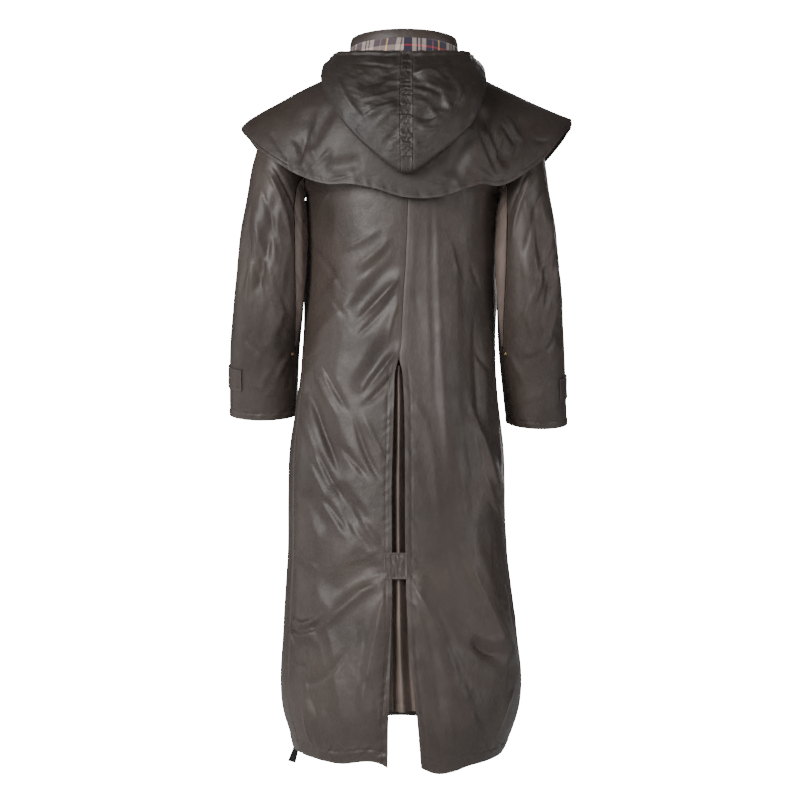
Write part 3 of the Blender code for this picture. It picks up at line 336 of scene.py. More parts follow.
# Leg strap inside the hem
STRAP_WIDTH = 0.018
STRAP_THICKNESS = 0.0018
STRAP_Y = -0.012
STRAP_TOP_X = -0.1965
STRAP_END_X = -0.212
STRAP_TOP_Z = -1.215
STRAP_END_Z = -1.300
STRAP_TWIST = 0.012
STRAP_SLANT = 0.008

# Largest creases. A crease runs from (x0, z0) to (x1, z1) as seen square on; left and right are how far
# it fades out on either side, and height is positive for a ridge and negative for a trough. Rows are in
# millimetres, heights in tenths of one.
Crease = namedtuple("Crease", "x0 z0 x1 z1 left right height")
BACK_CREASES = in_millimetres(Crease, (
    (-15, -360, -100, -470, 26, 30, -75),
    (-12, -495, -92, -615, 30, 24, -85),
    (-190, -570, -105, -770, 24, 34, -85),
    (-132, -770, -70, -855, 26, 28, -80),
    (-185, -780, -130, -870, 26, 26, -60),
    (-40, -905, -150, -985, 50, 34, -90),
    (-160, -1040, -210, -1055, 30, 26, 80),
    (-30, -950, -62, -1240, 36, 40, 80),
    (62, -270, 95, -800, 60, 45, 70),
    (125, -640, 180, -810, 34, 24, 70),
    (128, -870, 195, -1120, 40, 26, 75),
    (12, -930, 110, -1200, 34, 36, 80),
    (118, -1050, 190, -1100, 26, 24, -75),
))
FRONT_CREASES = in_millimetres(Crease, (
    (-150, -300, -100, -620, 36, 40, 65),
    (-170, -620, -120, -900, 34, 40, -70),
    (-110, -800, -140, -1230, 40, 44, 85),
    (140, -320, 85, -560, 36, 36, -65),
    (95, -640, 120, -1230, 44, 44, 85),
    (170, -740, 165, -1050, 34, 34, -70),
))
SLEEVE_CREASES = in_millimetres(Crease, (
    (262, -220, 290, -480, 14, 16, 50),
    (232, -230, 268, -430, 14, 16, -50),
    (222, -330, 250, -560, 18, 18, 45),
))
CAPE_CREASES = in_millimetres(Crease, (
    (-193, -196, -170, -80, 16, 30, -90),
    (-180, -170, -130, -80, 22, 26, -60),
    (-145, -200, -72, -190, 22, 20, -50),
    (188, -206, 140, -80, 22, 30, -100),
    (190, -200, 226, -90, 22, 24, -55),
    (82, -225, 125, -130, 24, 26, -70),
))
HOOD_CREASES = in_millimetres(Crease, (
    (-10, -20, -85, -60, 20, 22, -55),
    (-8, -90, -75, -105, 20, 22, 50),
    (18, -40, 85, -10, 20, 22, 55),
    (18, -120, 80, -85, 22, 22, -55),
))

# Finer folds. A fold runs from (x0, z0) through (x1, z1) to (x2, z2) as seen square on, from its upper end
# down; left and right are how far it fades out on either side, and height is positive for a ridge. Rows are
# in millimetres, heights in tenths of one.
Fold = namedtuple("Fold", "x0 z0 x1 z1 x2 z2 left right height")
BACK_FOLDS = in_millimetres(Fold, (
    (-4, -395, -44, -438, -98, -489, 16, 6, 57),
    (-9, -416, -49, -467, -94, -511, 7, 16, -47),
    (-18, -322, -56, -358, -94, -384, 16, 6, 47),
    (-22, -340, -55, -373, -94, -402, 6, 14, -38),
    (-11, -529, -42, -569, -85, -622, 16, 6, 52),
    (-16, -565, -45, -602, -87, -638, 6, 16, -66),
    (-7, -438, -22, -478, -29, -522, 9, 6, 24),
    (-154, -547, -127, -602, -96, -649, 6, 13, -62),
    (-167, -551, -145, -605, -116, -656, 14, 6, 38),
    (-185, -593, -153, -675, -113, -769, 6, 14, -62),
    (-196, -620, -167, -700, -134, -776, 12, 6, 38),
    (-94, -638, -69, -720, -36, -773, 6, 14, -57),
    (-80, -635, -51, -693, -25, -747, 12, 7, 33),
    (-174, -333, -142, -369, -105, -424, 12, 7, -28),
    (-131, -235, -156, -264, -174, -297, 9, 6, 33),
    (-120, -347, -76, -329, -36, -304, 12, 8, 33),
    (-134, -424, -116, -456, -94, -471, 10, 7, -24),
    (-169, -700, -138, -758, -109, -809, 7, 15, -62),
    (-182, -714, -153, -773, -127, -816, 12, 6, 38),
    (-120, -700, -91, -733, -58, -769, 7, 12, -57),
    (-156, -791, -127, -827, -98, -867, 11, 20, -71),
    (-98, -802, -69, -849, -33, -896, 7, 13, 47),
    (-116, -813, -87, -860, -40, -907, 6, 10, -38),
    (-207, -882, -180, -911, -149, -933, 12, 6, 43),
    (-207, -911, -182, -936, -156, -951, 6, 10, -38),
    (-44, -947, -98, -983, -167, -1056, 24, 17, 47),
    (-33, -954, -55, -1056, -94, -1241, 14, 22, 52),
    (-22, -965, -29, -1074, -44, -1238, 6, 13, -43),
    (-207, -1027, -182, -1043, -138, -1012, 6, 13, -71),
    (-211, -1009, -182, -1027, -142, -998, 12, 6, 57),
    (-211, -1092, -189, -1107, -160, -1092, 6, 10, -47),
    (-189, -1136, -142, -1121, -94, -1056, 8, 20, -47),
    (-185, -1147, -178, -1216, -164, -1252, 6, 10, 33),
    (-134, -1083, -116, -1165, -105, -1247, 13, 20, 33),
    (58, -249, 62, -493, 80, -769, 14, 46, 76),
    (127, -438, 134, -620, 149, -802, 11, 22, -38),
    (44, -257, 44, -438, 51, -656, 22, 11, 28),
    (84, -329, 91, -366, 109, -409, 7, 4, 28),
    (120, -369, 131, -393, 142, -420, 7, 5, -19),
    (113, -613, 145, -704, 182, -831, 6, 14, 38),
    (127, -518, 149, -555, 171, -573, 6, 12, -47),
    (138, -744, 160, -798, 185, -845, 6, 12, 47),
    (94, -885, 142, -976, 211, -1140, 6, 17, 47),
    (120, -1049, 149, -1078, 182, -1078, 6, 12, -66),
    (113, -1027, 153, -1056, 189, -1049, 12, 6, 52),
    (13, -947, 62, -1034, 105, -1151, 14, 22, 52),
    (22, -983, 51, -1074, 65, -1220, 7, 12, -33),
    (11, -620, 47, -693, 65, -874, 24, 17, 28),
    (209, -1147, 185, -1187, 171, -1241, 12, 8, 43),
    (174, -911, 196, -983, 204, -1056, 6, 10, -38),
    (65, -1147, 84, -1194, 87, -1245, 14, 10, 33),
    (120, -1165, 142, -1205, 153, -1252, 12, 8, -28),
))
FRONT_FOLDS = in_millimetres(Fold, (
    (-150, -280, -120, -400, -80, -520, 14, 20, 55),
    (-160, -340, -140, -430, -105, -540, 14, 12, -45),
    (-60, -300, -70, -450, -50, -620, 18, 18, 35),
    (-180, -520, -150, -600, -100, -660, 12, 18, -60),
    (-80, -640, -110, -860, -100, -1060, 22, 26, 65),
    (-150, -700, -170, -900, -160, -1120, 20, 22, -55),
    (-200, -900, -180, -990, -140, -1040, 12, 16, 50),
    (-60, -900, -75, -1080, -60, -1230, 18, 20, -45),
    (-170, -1080, -180, -1160, -190, -1240, 18, 16, 50),
    (150, -290, 125, -420, 75, -540, 20, 14, 55),
    (165, -360, 140, -450, 100, -560, 12, 14, -45),
    (65, -330, 70, -480, 55, -640, 18, 18, 35),
    (175, -540, 145, -620, 95, -690, 18, 12, -55),
    (85, -660, 110, -880, 105, -1080, 26, 22, 65),
    (150, -720, 165, -920, 150, -1150, 22, 20, -55),
    (190, -860, 170, -960, 130, -1030, 16, 12, 50),
    (65, -920, 80, -1100, 70, -1230, 20, 18, -45),
    (160, -1090, 175, -1160, 180, -1230, 16, 18, 45),
))
SLEEVE_FOLDS = {
    "left": in_millimetres(Fold, (
        (261, -186, 224, -261, 206, -359, 10, 5, 43),
        (272, -208, 243, -289, 224, -381, 6, 8, -34),
        (250, -178, 210, -245, 193, -307, 8, 4, -33),
        (280, -245, 261, -344, 221, -469, 11, 6, 43),
        (291, -278, 272, -377, 236, -491, 6, 9, -36),
        (261, -399, 236, -465, 202, -521, 9, 5, 38),
        (247, -381, 217, -447, 195, -491, 5, 7, -30),
        (298, -421, 276, -491, 250, -557, 12, 6, 33),
        (302, -491, 269, -532, 221, -546, 11, 6, -38),
        (199, -517, 224, -550, 243, -591, 10, 6, 43),
        (195, -539, 213, -572, 221, -613, 8, 5, -38),
        (291, -580, 261, -605, 217, -616, 9, 6, 28),
    )),
    "right": in_millimetres(Fold, (
        (250, -189, 213, -261, 197, -344, 9, 6, 40),
        (265, -215, 236, -289, 213, -381, 6, 9, -34),
        (239, -182, 206, -245, 188, -304, 8, 4, -30),
        (272, -263, 261, -366, 224, -484, 11, 6, 40),
        (280, -326, 272, -399, 247, -502, 9, 6, -34),
        (250, -403, 224, -458, 195, -517, 9, 5, 36),
        (287, -436, 272, -502, 243, -568, 11, 6, 32),
        (283, -502, 254, -535, 206, -550, 11, 6, -38),
        (184, -524, 210, -557, 228, -602, 10, 6, 43),
        (188, -550, 202, -583, 206, -624, 8, 5, -38),
        (280, -591, 250, -613, 206, -624, 9, 6, 28),
    )),
}
CAPE_FOLDS = in_millimetres(Fold, (
    (-169, -111, -180, -161, -189, -214, 5, 16, 62),
    (-178, -118, -189, -164, -196, -211, 12, 4, -43),
    (-125, -159, -153, -189, -185, -216, 6, 13, 47),
    (-132, -175, -157, -196, -182, -218, 5, 8, -33),
    (-203, -143, -196, -175, -190, -211, 10, 6, 33),
    (-253, -118, -228, -157, -203, -193, 10, 16, -24),
    (-96, -214, -121, -221, -153, -221, 6, 4, 24),
    (-14, -186, -50, -193, -89, -211, 6, 10, 33),
    (-21, -207, -43, -214, -75, -218, 4, 8, -28),
    (114, -143, 91, -168, 80, -203, 6, 11, 57),
    (100, -136, 78, -168, 68, -200, 5, 9, -43),
    (142, -111, 164, -161, 185, -225, 6, 10, 66),
    (132, -118, 153, -168, 176, -225, 8, 6, -52),
    (164, -107, 178, -161, 187, -221, 7, 5, 38),
    (182, -93, 203, -125, 224, -150, 5, 9, 52),
    (171, -107, 192, -136, 210, -157, 5, 8, -43),
    (221, -136, 206, -175, 190, -221, 6, 11, 38),
    (235, -136, 256, -143, 271, -136, 8, 6, -24),
    (121, -189, 142, -207, 167, -225, 7, 5, 28),
    (28, -221, 64, -228, 103, -225, 6, 4, -24),
))
HOOD_FOLDS = in_millimetres(Fold, (
    (4, -56, -32, -74, -93, -85, 8, 6, 33),
    (4, -74, -43, -92, -96, -120, 6, 9, -39),
    (0, -92, -29, -109, -64, -142, 5, 9, 35),
    (0, -117, -18, -145, -43, -174, 7, 5, -33),
    (4, -42, -25, -45, -79, -60, 7, 5, -29),
    (0, -142, -14, -159, -32, -184, 6, 4, 29),
    (18, -38, 50, -31, 86, -52, 5, 9, 44),
    (18, -56, 54, -63, 79, -95, 9, 6, -44),
    (18, -81, 46, -95, 64, -127, 8, 6, 40),
    (21, -106, 43, -117, 64, -106, 8, 6, -37),
    (21, -131, 46, -138, 71, -127, 5, 8, 35),
    (21, -156, 39, -167, 57, -163, 6, 4, -31),
    (-121, -27, -104, -77, -61, -127, 14, 10, 29),
    (132, -31, 114, -81, 75, -131, 14, 10, -26),
    (-107, -10, -43, -17, 0, -24, 6, 4, -18),
    (18, -24, 64, -17, 118, -13, 6, 4, -18),
    (93, -45, 104, -70, 86, -99, 10, 7, 33),
))

# Fold groups that repeat unevenly: count, the box they start in, how far and which way they run
Spray = namedtuple("Spray", "count seed x_from x_to z_from z_to run_x run_z bend reach height")
BACK_SPRAYS = records(Spray, (
    (6, 11, -0.150, -0.020, -0.300, -0.560, -0.085, -0.110, 0.010, 0.014, 0.0016),
    (10, 12, 0.020, 0.165, -0.300, -0.900, 0.020, -0.150, 0.010, 0.011, 0.0012),
    (4, 13, -0.200, -0.060, -0.700, -0.900, 0.060, -0.120, 0.010, 0.014, 0.0010),
    (12, 14, -0.210, -0.050, -0.980, -1.230, 0.035, -0.110, 0.012, 0.014, 0.0026),
    (12, 15, 0.040, 0.190, -0.960, -1.220, 0.040, -0.115, 0.012, 0.014, 0.0026),
    (9, 16, -0.060, -0.026, -0.885, -0.965, -0.055, -0.020, 0.004, 0.005, 0.0016),
    (9, 17, 0.006, 0.020, -0.885, -0.965, 0.045, -0.045, 0.004, 0.005, 0.0014),
))
FRONT_SPRAYS = records(Spray, (
    (12, 21, -0.170, -0.040, -0.280, -0.700, 0.030, -0.140, 0.012, 0.012, 0.0020),
    (12, 22, 0.040, 0.170, -0.280, -0.700, -0.030, -0.140, 0.012, 0.012, 0.0020),
    (12, 23, -0.200, -0.040, -0.760, -1.180, -0.020, -0.150, 0.012, 0.014, 0.0024),
    (12, 24, 0.040, 0.190, -0.760, -1.180, 0.020, -0.150, 0.012, 0.014, 0.0024),
))
SLEEVE_SPRAYS = records(Spray, (
    (12, 31, 0.195, 0.290, -0.200, -0.400, 0.030, -0.120, 0.012, 0.008, 0.0018),
    (12, 32, 0.200, 0.310, -0.400, -0.600, 0.030, -0.060, 0.012, 0.009, 0.0020),
))
CAPE_SPRAYS = records(Spray, (
    (12, 41, -0.215, -0.165, -0.120, -0.190, 0.020, -0.060, 0.006, 0.008, 0.0016),
    (12, 42, 0.160, 0.220, -0.110, -0.190, -0.015, -0.060, 0.006, 0.008, 0.0018),
    (10, 43, -0.120, 0.120, -0.180, -0.225, 0.020, -0.035, 0.004, 0.008, 0.0014),
))
HOOD_SPRAYS = records(Spray, (
    (20, 51, -0.006, -0.003, -0.010, -0.190, -0.040, -0.014, 0.006, 0.0045, 0.0022),
    (20, 52, 0.011, 0.014, -0.010, -0.190, 0.038, -0.012, 0.006, 0.0045, 0.0022),
    (12, 53, -0.095, -0.030, -0.010, -0.110, -0.030, -0.025, 0.008, 0.008, 0.0014),
    (12, 54, 0.030, 0.095, -0.010, -0.100, 0.028, -0.025, 0.008, 0.008, 0.0014),
))

# Grain of small wrinkles: the size of one wrinkle across and down, its height, and the seed of its draws
NOISE_CELLS = 64
WRINKLE_BEND, WRINKLE_SLANT, WRINKLE_CREST = 0.5, 0.4, 2.2
BODY_RADIUS, SLEEVE_GRAIN_RADIUS, HOOD_RADIUS, COLLAR_RADIUS = 0.19, 0.065, 0.16, 0.1
SLEEVE_WRINKLES, CAPE_WRINKLES, GUSSET_WRINKLES = 0.8, 0.8, 0.5
Grain = namedtuple("Grain", "across down height seed")
BODY_GRAIN = (Grain(0.042, 0.120, 0.0008, 61), Grain(0.016, 0.050, 0.00014, 62))
HOOD_GRAIN = (Grain(0.026, 0.022, 0.0005, 63), Grain(0.011, 0.010, 0.00020, 64))
COLLAR_GRAIN = (Grain(0.022, 0.012, 0.00035, 65),)

# Fullness where a sleeve hangs against the side
SIDE_FILL, SIDE_FILL_REACH, UNDERARM_FILL = 0.0036, 0.050, 0.0046
SIDE_FILL_Z, SIDE_FILL_HALF_HEIGHT = -0.320, 0.190

# Edges and stitching
SIDE_GAP = 0.0001
CREST_POWER = 1.6
FOLD_STOPS, FOLD_TAPER_TOP, FOLD_TAPER_FOOT = 9, 0.30, 0.35
FINE_STEP = 0.0019
SEAM_DIP, SEAM_DIP_REACH = 0.0015, 0.0048
DOUBLED, STITCH_SUNK, STITCH_REACH = 0.0006, 0.0010, 0.0030
PUCKER_LENGTH, PUCKER_DEPTH, PUCKER_REACH, PUCKER_SLANT = 0.0075, 0.03, 0.014, 0.7
VENT_STITCH, SEAM_STITCH, CAPE_STITCHES = 0.011, 0.006, (0.0035, 0.0085)
HEM_STITCH, CUFF_STITCH, GUSSET_STITCH = 0.022, 0.013, 0.016
HOOD_EDGE_STITCH, TAB_STITCH, BAND_STITCH, PANEL_STITCH = 0.012, 0.0045, 0.0035, 0.0035
STITCH_PITCH, STITCH_HALF_LENGTH, STITCH_HALF_WIDTH, STITCH_RISE = 0.0036, 0.0013, 0.0003, 0.0004

# Puckers beside the stitches, and the seeds of the random draws, to which a piece that comes in two adds its
# side's sign
BACK_PUCKER, FRONT_PUCKER, FLAP_PUCKER = 0.0018, 0.0009, 0.0004
GUSSET_PUCKER, CUFF_PUCKER, CAPE_PUCKER, UNDERARM_PUCKER = 0.0009, 0.0015, 0.0012, 0.0007
VENT_SEED, BACK_HEM_SEED, FRONT_HEM_SEED, FLAP_SEED, GUSSET_SEED, TAB_SEED = 71, 75, 79, 83, 87, 89
CUFF_SEED, UNDERARM_SEED, CAPE_BACK_SEED, CAPE_FRONT_SEED, RIM_SEED, STRIP_SEED = 91, 95, 101, 103, 107, 109

# Relief of the gathered and boxed parts
TAB_GATHER, TAB_GATHER_SIZE, TAB_GATHER_SLANT = 0.0011, (0.0032, 0.012), 0.15
TAB_SUNK, TAB_SUNK_REACH = 0.0005, 0.0020
TAB_BOX_STITCH, TAB_BOX_SUNK, TAB_BOX_REACH = 0.016, 0.0004, 0.0018
CUFF_TAB_SUNK, CAPE_STITCH_REACH = 0.0004, 0.0022
RIM_CHANNEL, RIM_CHANNEL_AT, RIM_GATHER, STRIP_TUCK = 0.0022, 0.006, 0.0020, 0.0026
BAND_ROLL, BAND_ROLL_REACH, BAND_EDGE_DROP = 0.0009, 0.010, 0.0003
STRAP_RIB, STRAP_RIB_PITCH = 0.0002, 0.006
UNDERARM_PUCKER_SIZE, UNDERARM_PUCKER_SLANT = (0.009, 0.03), 0.4
RIM_GATHER_SIZE, RIM_GATHER_AT, RIM_GATHER_REACH = (0.009, 0.05), 0.008, 0.020
STRIP_TUCK_SIZE, STRIP_TUCK_STRETCH, STRIP_TUCK_SLANT = (0.010, 0.0042), 0.4, 0.3
FLAP_CLEARANCE = 0.0006
GUSSET_SHOULDER_DEPTH = 0.014
GUSSET_STOPS = (0.0, 0.12, 0.28, 0.50, 0.72, 0.88, 1.0)

# Where folds and wrinkles fade out
FOLDS_TOP_Z, FOLDS_TOP_FADE, FOLDS_SIDE_FADE = -0.205, 0.04, 0.045
BESIDE_SLEEVE_Z, BESIDE_SLEEVE_FADE = -0.46, 0.10
SLEEVE_TOP_FADE, CUFF_FADE = 0.12, 0.10
CREASES_BELOW_ARMHOLE, CREASES_FADE = 0.02, 0.05
CAPE_TOP_FADE, CAPE_FRONT_RELIEF = 0.03, 0.6
UNDER_HOOD_X, UNDER_HOOD_X_FADE, UNDER_HOOD_Z, UNDER_HOOD_Z_FADE = 0.085, 0.05, -0.19, 0.03
HOOD_CREASE_START, HOOD_CREASE_END = 0.10, 0.06
HOOD_FOLD_LEAD, HOOD_FOLD_START, HOOD_FOLD_END = 0.03, 0.05, 0.08
NECK_FADE_Z, NECK_FADE = -0.05, 0.04
ABOVE_VENT, VENT_FADE = 0.010, 0.020
GUSSET_EDGE_FADE, TAB_GATHER_FADE = 0.02, 0.006
UNDERARM_PUCKER_FADE, UNDERARM_SIDE_FADE, UNDERARM_END_FADE = 0.004, 0.018, 0.03
STRIP_TUCK_START, STRIP_TUCK_FADE = 0.04, 0.003

# Grids: what each is spaced for, its steps across and down, its fine margins and its even counts
BODY_WIDTH, VENT_MARGIN, FRONT_MARGIN, SIDE_MARGIN, HEM_MARGIN = 0.290, 0.022, 0.002, 0.012, 0.030
BACK_STEPS, FRONT_STEPS = (0.0042, 0.0046), (0.0080, 0.0085)
BACK_UPPER_ROWS, FRONT_UPPER_ROWS, OVERLAP_COLUMNS, FLAP_COLUMNS = 30, 20, 12, 33
GUSSET_ROWS, GUSSET_COLUMNS, TAB_ROWS, TAB_COLUMNS = 150, 49, 50, 56
SLEEVE_WIDTH, SLEEVE_LENGTH, SLEEVE_STEPS, SLEEVE_MARGIN, CUFF_MARGIN = 0.430, 0.620, (0.0050, 0.0048), 0.010, 0.024
UNDERARM_ROWS, UNDERARM_COLUMNS, CUFF_TAB_ROWS, CUFF_TAB_COLUMNS = 130, 33, 22, 60
CAPE_WIDTH, CAPE_STEP, CAPE_MARGIN = 0.620, 0.0038, 0.006
CAPE_FRONT_WIDTH, CAPE_FRONT_STEP, CAPE_FRONT_MARGIN = 0.300, 0.0055, 0.012
CAPE_LENGTH, CAPE_ROW_STEP, CAPE_HEM_MARGIN, CAPE_ROW_POWER = 0.240, 0.0045, 0.020, 1.3
HOOD_INNER_ROWS, HOOD_TURN_ROWS, HOOD_OUTER_ROWS, HOOD_COLUMNS = 26, 16, 78, 100
HOOD_CROWDING = 0.9
STRIP_LOWER_ROWS, STRIP_OUTER_ROWS, STRIP_COLUMNS = 40, 170, 15
COLLAR_COLUMNS, CHECK_COLUMNS, COLLAR_ROWS, CHECK_ROWS, BAND_ROWS = 181, 91, 20, 20, 12
CHECK_GAP_DEGREES, CHECK_BOTTOM_SHARE, CHECK_TOP_GAP = 0.15, 0.02, 0.01
STRAP_ROWS, STRAP_COLUMNS = 40, 13

# Rivets and press studs: shares of radius and height up their turned profiles
EYELET_PROFILE = ((1, 0), (1, 0.5), (0.9, 0.8), (0.6, 1), (0.45, 0.95), (0.38, 0.6))
CAP_PROFILE = ((1, 0), (1, 0.35), (0.94, 0.6), (0.86, 0.72), (0.80, 0.62), (0.5, 0.86), (0.15, 1))
EYELET_SIDES, CAP_SIDES = 28, 32
RIVET_BELOW_TIP, STUD_PAST_TAB_DEGREES = 0.012, 10
ABOVE_ARMHOLE = 0.01

# The record of a flat cut: width, length and area, in metres
Cut = namedtuple("Cut", "width length area")
Edges = namedtuple("Edges", "start end low high")


def curve(keys, values, at):
    """A smooth curve through (key, value) points, read at the given places."""
    keys, values = np.asarray(keys, float), np.asarray(values, float)
    slopes = np.gradient(values, keys, axis=0)
    at = np.clip(at, keys[0], keys[-1])
    i = np.clip(np.searchsorted(keys, at) - 1, 0, len(keys) - 2)
    span = keys[i + 1] - keys[i]
    s = (at - keys[i]) / span
    if values.ndim == 2:
        s, span = s[..., None], span[..., None]
    start = (1 + 2 * s) * (1 - s) ** 2 * values[i] + s * (1 - s) ** 2 * span * slopes[i]
    end = s**2 * (3 - 2 * s) * values[i + 1] + s**2 * (s - 1) * span * slopes[i + 1]
    return start + end


def column(table, name, at):
    """One named column of a table, as a smooth curve over its first column."""
    return curve([row[0] for row in table], [getattr(row, name) for row in table], at)


def fade(distance, reach):
    """1 at distance 0, falling smoothly to 0 at reach."""
    q = np.clip(np.abs(distance) / reach, 0, 1)
    return (1 - q) ** 2 * (1 + 2 * q)


def crease_height(creases, x, z):
    """The sum of all creases at the points (x, z)."""
    height = np.zeros(np.broadcast(x, z).shape)
    for c in creases:
        length = math.hypot(c.x1 - c.x0, c.z1 - c.z0)
        along_x, along_z = (c.x1 - c.x0) / length, (c.z1 - c.z0) / length
        along = ((x - c.x0) * along_x + (z - c.z0) * along_z) / length
        across = (x - c.x0) * -along_z + (z - c.z0) * along_x
        ends = np.clip(along * (1 - along) * 5, 0, 1)
        sides = np.where(across < 0, fade(across, c.left), fade(across, c.right))
        height = height + c.height * sides * ends * ends * (3 - 2 * ends)
    return height


def unit(vectors):
    """The vectors of the last axis, each at length 1."""
    return vectors / np.maximum(np.linalg.norm(vectors, axis=-1, keepdims=True), 1e-12)


def grid_normals(points):
    """Unit normals of a grid of points, along (second axis) x (first axis)."""
    return unit(np.cross(np.gradient(points, axis=1), np.gradient(points, axis=0)))


def raised(points, heights):
    """The grid moved out along its normals."""
    return points + grid_normals(points) * np.broadcast_to(heights, points.shape[:2])[..., None]


def round_power(value, fullness):
    """Signed power that turns a circle's sine or cosine into a fuller oval's."""
    return np.sign(value) * np.abs(value) ** (2 / fullness)


def smooth(value):
    """An S-shaped ramp from 0 to 1."""
    value = np.clip(value, 0, 1)
    return value * value * (3 - 2 * value)


def shoulder_top(x, front):
    """Height and depth of the upper edge of the body at x: the neck ring, then the shoulder line."""
    inside = np.clip(1 - (x / NECK_HALF_WIDTH) ** 2, 0, 1)
    lift = np.where(front, -NECK_FRONT_DROP, NECK_BACK_RISE) * inside
    line = -SHOULDER_SLOPE * np.clip(np.abs(x) - NECK_HALF_WIDTH, 0, None)
    return NECK_SIDE_Z + lift + line, NECK_HALF_DEPTH * np.sqrt(inside)


def body_reach(x_sign, z):
    """How far the body reaches along X at z, as a positive length."""
    return np.where(x_sign > 0, column(BODY, "right", z), -column(BODY, "left", z))


def body_base(theta, z):
    """The body without creases. theta is in radians from the centre back, positive towards +X."""
    front = np.abs(theta) > math.pi / 2
    depth = np.where(front, column(BODY, "front", z), column(BODY, "back", z))
    middle = (ARMHOLE_TOP_Z + ARMHOLE_BOTTOM_Z) / 2
    half = (ARMHOLE_TOP_Z - ARMHOLE_BOTTOM_Z) / 2
    arm = ARMHOLE_HALF_DEPTH * np.sqrt(np.clip(1 - ((z - middle) / half) ** 2, 0, 1))
    x = body_reach(theta, z) * round_power(np.sin(theta), BODY_FULLNESS)
    across = np.abs(round_power(np.cos(theta), BODY_FULLNESS))
    top_z, top_y = shoulder_top(x, front)
    share = np.clip((top_z - z) / SHOULDER_ROUNDING, 0, 1)
    centre = top_y + (depth - top_y) * np.sqrt(1 - (1 - share) ** 2)
    y = arm * (1 - across) + centre * across
    middle_y = column(BODY, "middle", z)
    return np.stack([x, middle_y + np.where(front, y, -y), z + 0 * x], axis=-1)


def share_behind(y):
    """1 on the coat's back, 0 on its front, with a smooth change over the sides."""
    return smooth(0.5 - y / SIDE_BLEND)


def body_creases(points):
    """Crease heights on the body: the back's own behind, the front's own ahead."""
    x, y, z = points[..., 0], points[..., 1], points[..., 2]
    behind = share_behind(y)
    near_armhole = smooth((ARMHOLE_BOTTOM_Z - CREASES_BELOW_ARMHOLE - z) / CREASES_FADE)
    away = smooth((body_reach(x, z) - np.abs(x)) / CREASES_FADE)
    quiet = np.maximum(near_armhole, away)
    return (crease_height(BACK_CREASES, x, z) * behind + crease_height(FRONT_CREASES, x, z) * (1 - behind)) * quiet


def body_angle(x, z, front):
    """The angle at which the body section at z reaches x."""
    share = np.clip(np.abs(x) / body_reach(x, z), 0, 1)
    angle = np.arcsin(share ** (BODY_FULLNESS / 2))
    return np.sign(x) * np.where(front, math.pi - angle, angle)


def side_seam(side, z):
    """Signed angle of a side seam, in radians."""
    return np.radians(column(BODY, f"{side}_seam", z)) * SIGN[side]


def base_normals(theta, z):
    """Normals of the smooth body, from small steps along it."""
    step_theta, step_z = 0.02, 0.004
    inner = np.clip(np.abs(theta), step_theta, math.pi - step_theta)
    kept = np.where(theta < 0, -inner, inner)
    kept = np.where(np.abs(kept) > math.pi / 2, kept + np.sign(kept) * step_theta, kept - np.sign(kept) * step_theta)
    kept = np.clip(kept, -math.pi + step_theta, math.pi - step_theta)
    along_u = body_base(kept + step_theta / 2, z) - body_base(kept - step_theta / 2, z)
    along_v = body_base(kept, z + step_z) - body_base(kept, z - step_z)
    return unit(np.cross(along_u, along_v))


def sleeve_point(side, row, phi):
    """A point of the sleeve. row runs 0 to 1 down the arm; phi is 0 outside, pi inside, -pi/2 behind."""
    rings = SLEEVES[side]
    at = np.asarray(row, float) * (len(rings) - 1)
    keys = np.arange(len(rings))
    read = {name: curve(keys, [getattr(ring, name) for ring in rings], at) for name in Ring._fields}
    half_x = (read["outer_x"] - read["inner_x"]) / 2
    half_z = (read["outer_z"] - read["inner_z"]) / 2
    along, ahead = np.cos(phi), np.sin(phi)
    x = (read["outer_x"] + read["inner_x"]) / 2 + half_x * along
    y = read["y"] + read["half_depth"] * ahead
    z = (read["outer_z"] + read["inner_z"]) / 2 + half_z * along + read["tilt"] * read["half_depth"] * ahead
    return np.stack([x * SIGN[side], y, z], axis=-1)


def underarm_half(row):
    """Half angle of the underarm piece: widest at the armhole, a point at its lower end."""
    share = np.clip(np.asarray(row, float) / UNDERARM_END, 0, 1)
    return np.radians(UNDERARM_TIP_ANGLE + (UNDERARM_HALF_ANGLE - UNDERARM_TIP_ANGLE) * (1 - share**1.6))


def underarm_middle(row):
    """Angle of the underarm piece's middle line, turned a little to the back towards its point."""
    return -math.pi + np.radians(UNDERARM_TURN) * smooth(np.asarray(row, float) / UNDERARM_END)


def cape_neck(x):
    """Half depth of the cape's neck ring at x, 0 beside it."""
    ring_x, ring_y = NECK_HALF_WIDTH + CAPE_NECK_GAP, NECK_HALF_DEPTH + CAPE_NECK_GAP
    return ring_y * np.sqrt(np.clip(1 - (x / ring_x) ** 2, 0, 1))


def cape_ridge(x, front):
    """Height of the cape's upper line: the shoulder beside the neck, the neck edge within it."""
    inside = np.clip(1 - (x / (NECK_HALF_WIDTH + CAPE_NECK_GAP)) ** 2, 0, 1)
    back = column(CAPE_BACK, "ridge", x)
    side = column(CAPE_BACK, "ridge", np.sign(x) * (NECK_HALF_WIDTH + CAPE_NECK_GAP))
    ahead = np.where(inside > 0, side - NECK_FRONT_DROP * inside, back)
    return ahead if front else back


def rounding(drop):
    """How far out a cape section has come after a drop below its upper line, 0 to 1."""
    share = np.clip(drop / CAPE_ROUNDING, 0, 1)
    return np.sqrt(1 - (1 - share) ** 2)


def cape_edge(x, front):
    """Height and depth of the cape's lower edge at x."""
    if not front:
        return column(CAPE_BACK, "edge", x), column(CAPE_BACK, "depth", x)
    share = front_share(x)
    return column(CAPE_FRONT, "edge", share), column(CAPE_FRONT, "depth", share)


